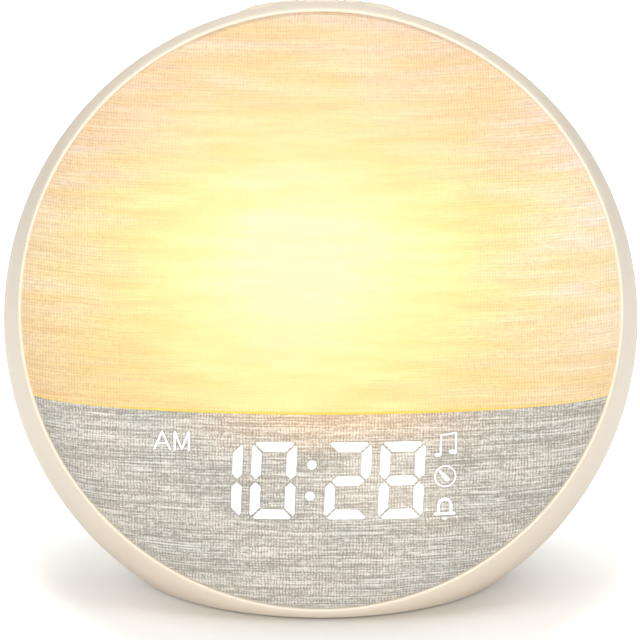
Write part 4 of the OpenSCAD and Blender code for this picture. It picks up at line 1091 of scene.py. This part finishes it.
# ---- Inside the housing ----
# The lamp, display, boards, speaker and switches keep their solids. Each gets the finish
# of what it is made of.
finishes = {
    "opal_diffuser": moulded("opal_acrylic", (0.90, 0.87, 0.79), 0.55, 1500.0, 0.02, 0.03),
    "grey_plastic": moulded("grey_abs", (0.45, 0.42, 0.38), 0.55),
    "white_plastic": moulded("white_abs", (0.86, 0.86, 0.84), 0.40),
    "black_plastic": moulded("black_abs", (0.035, 0.035, 0.037), 0.50),
    "chassis_plastic": moulded("chassis_abs", (0.08, 0.083, 0.088), 0.55),
    # Painted light: the guides behind the lit bars get a paler colour than those behind the dark bars, for
    # the display's light in them
    "lit_guide": moulded("lit_acrylic", (0.93, 0.93, 0.90), 0.25, 1500.0, 0.02, 0.03, 0.3),
    "dark_guide": moulded("clear_acrylic", (0.42, 0.41, 0.39), 0.25, 1500.0, 0.02, 0.03, 0.3),
    "chip_black": moulded("chip_epoxy", (0.03, 0.03, 0.032), 0.45, 6000.0),
    "connector_ivory": moulded("connector_nylon", (0.80, 0.76, 0.66), 0.50),
    "lamp_diode": moulded("diode_phosphor", (0.90, 0.72, 0.25), 0.35, 3000.0, 0.05, 0.05),
    "magnet": moulded("ferrite", (0.05, 0.05, 0.053), 0.60, 2200.0, 0.12, 0.2),
    "speaker_paper": moulded("pressed_paper", (0.055, 0.053, 0.05), 0.85, 1400.0, 0.25, 0.5),
    "black_rubber": moulded("surround_rubber", (0.03, 0.03, 0.03), 0.65, 2600.0, 0.10, 0.2),
    "black_cloth": moulded("acoustic_cloth", (0.02, 0.02, 0.02), 0.95, 1700.0, 0.6, 0.8),
    "key_plastic": moulded("plunger_abs", (0.05, 0.05, 0.05), 0.45),
    "red_wire": moulded("red_pvc", (0.50, 0.03, 0.025), 0.40, 2000.0),
    "black_wire": moulded("black_pvc", (0.03, 0.03, 0.03), 0.40, 2000.0),
    "grey_wire": moulded("grey_pvc", (0.62, 0.60, 0.55), 0.40, 2000.0),
    "steel": metal("zinc_steel", (0.62, 0.62, 0.61), 0.32),
    "capacitor_can": metal("drawn_aluminium", (0.78, 0.79, 0.80), 0.28),
    "cell_steel": metal("nickel_steel", (0.74, 0.73, 0.70), 0.22),
    "basket_steel": metal("black_steel", (0.11, 0.115, 0.12), 0.45),
    "copper_wire": metal("enamelled_copper", (0.72, 0.36, 0.16), 0.30, 3000.0),
    "switch_metal": metal("tinned_steel", (0.55, 0.55, 0.56), 0.35),
}

# Circuit boards: a solder mask over a faint grid of copper runs
copper_runs, given, taken = new_group(
    "copper_runs", {"Point": "Vector", "Mask colour": "Color", "Run colour": "Color"},
    {"Colour": "Color", "Height": "Float"})
mask = given["Mask colour"]
run_scale, run_w = 220.0, 0.05
runs = node("TexBrick", given["Point"], mask, mask, given["Run colour"], run_scale, run_w)
put(taken, Colour=runs, Height=runs["Fac"])


def board(name, mask_colour, run_colour):
    """A lacquered circuit board."""
    finish, shader, point = new_finish(name)
    surface = use(copper_runs, Point=on_plane(point, rim_centre, 1.0), Mask_colour=mask_colour,
                  Run_colour=run_colour)
    put(shader, Base_Color=surface["Colour"], Roughness=0.35,
        Normal=bumped(surface["Height"], 0.3, 0.00003))
    return finish


finishes["circuit_board"] = board("green_board", (0.01, 0.10, 0.045), (0.02, 0.17, 0.07))
finishes["lamp_board"] = board("white_board", (0.82, 0.83, 0.82), (0.70, 0.71, 0.70))
slot_of = {part["node"]: part["material_slot"] for part in frame["record"]["subparts"]}
replaced = {"front_shell", "rear_shell", "front_bezel", "fabric_cover", "key_frame", "speaker_grille",
            "housing_screws", "base_foot", *("key_" + name for name, at, width in key_places)}
for name, solid in frame["nodes"].items():
    if name not in replaced:
        solid.data.materials.clear()
        solid.data.materials.append(finishes[slot_of[name]])
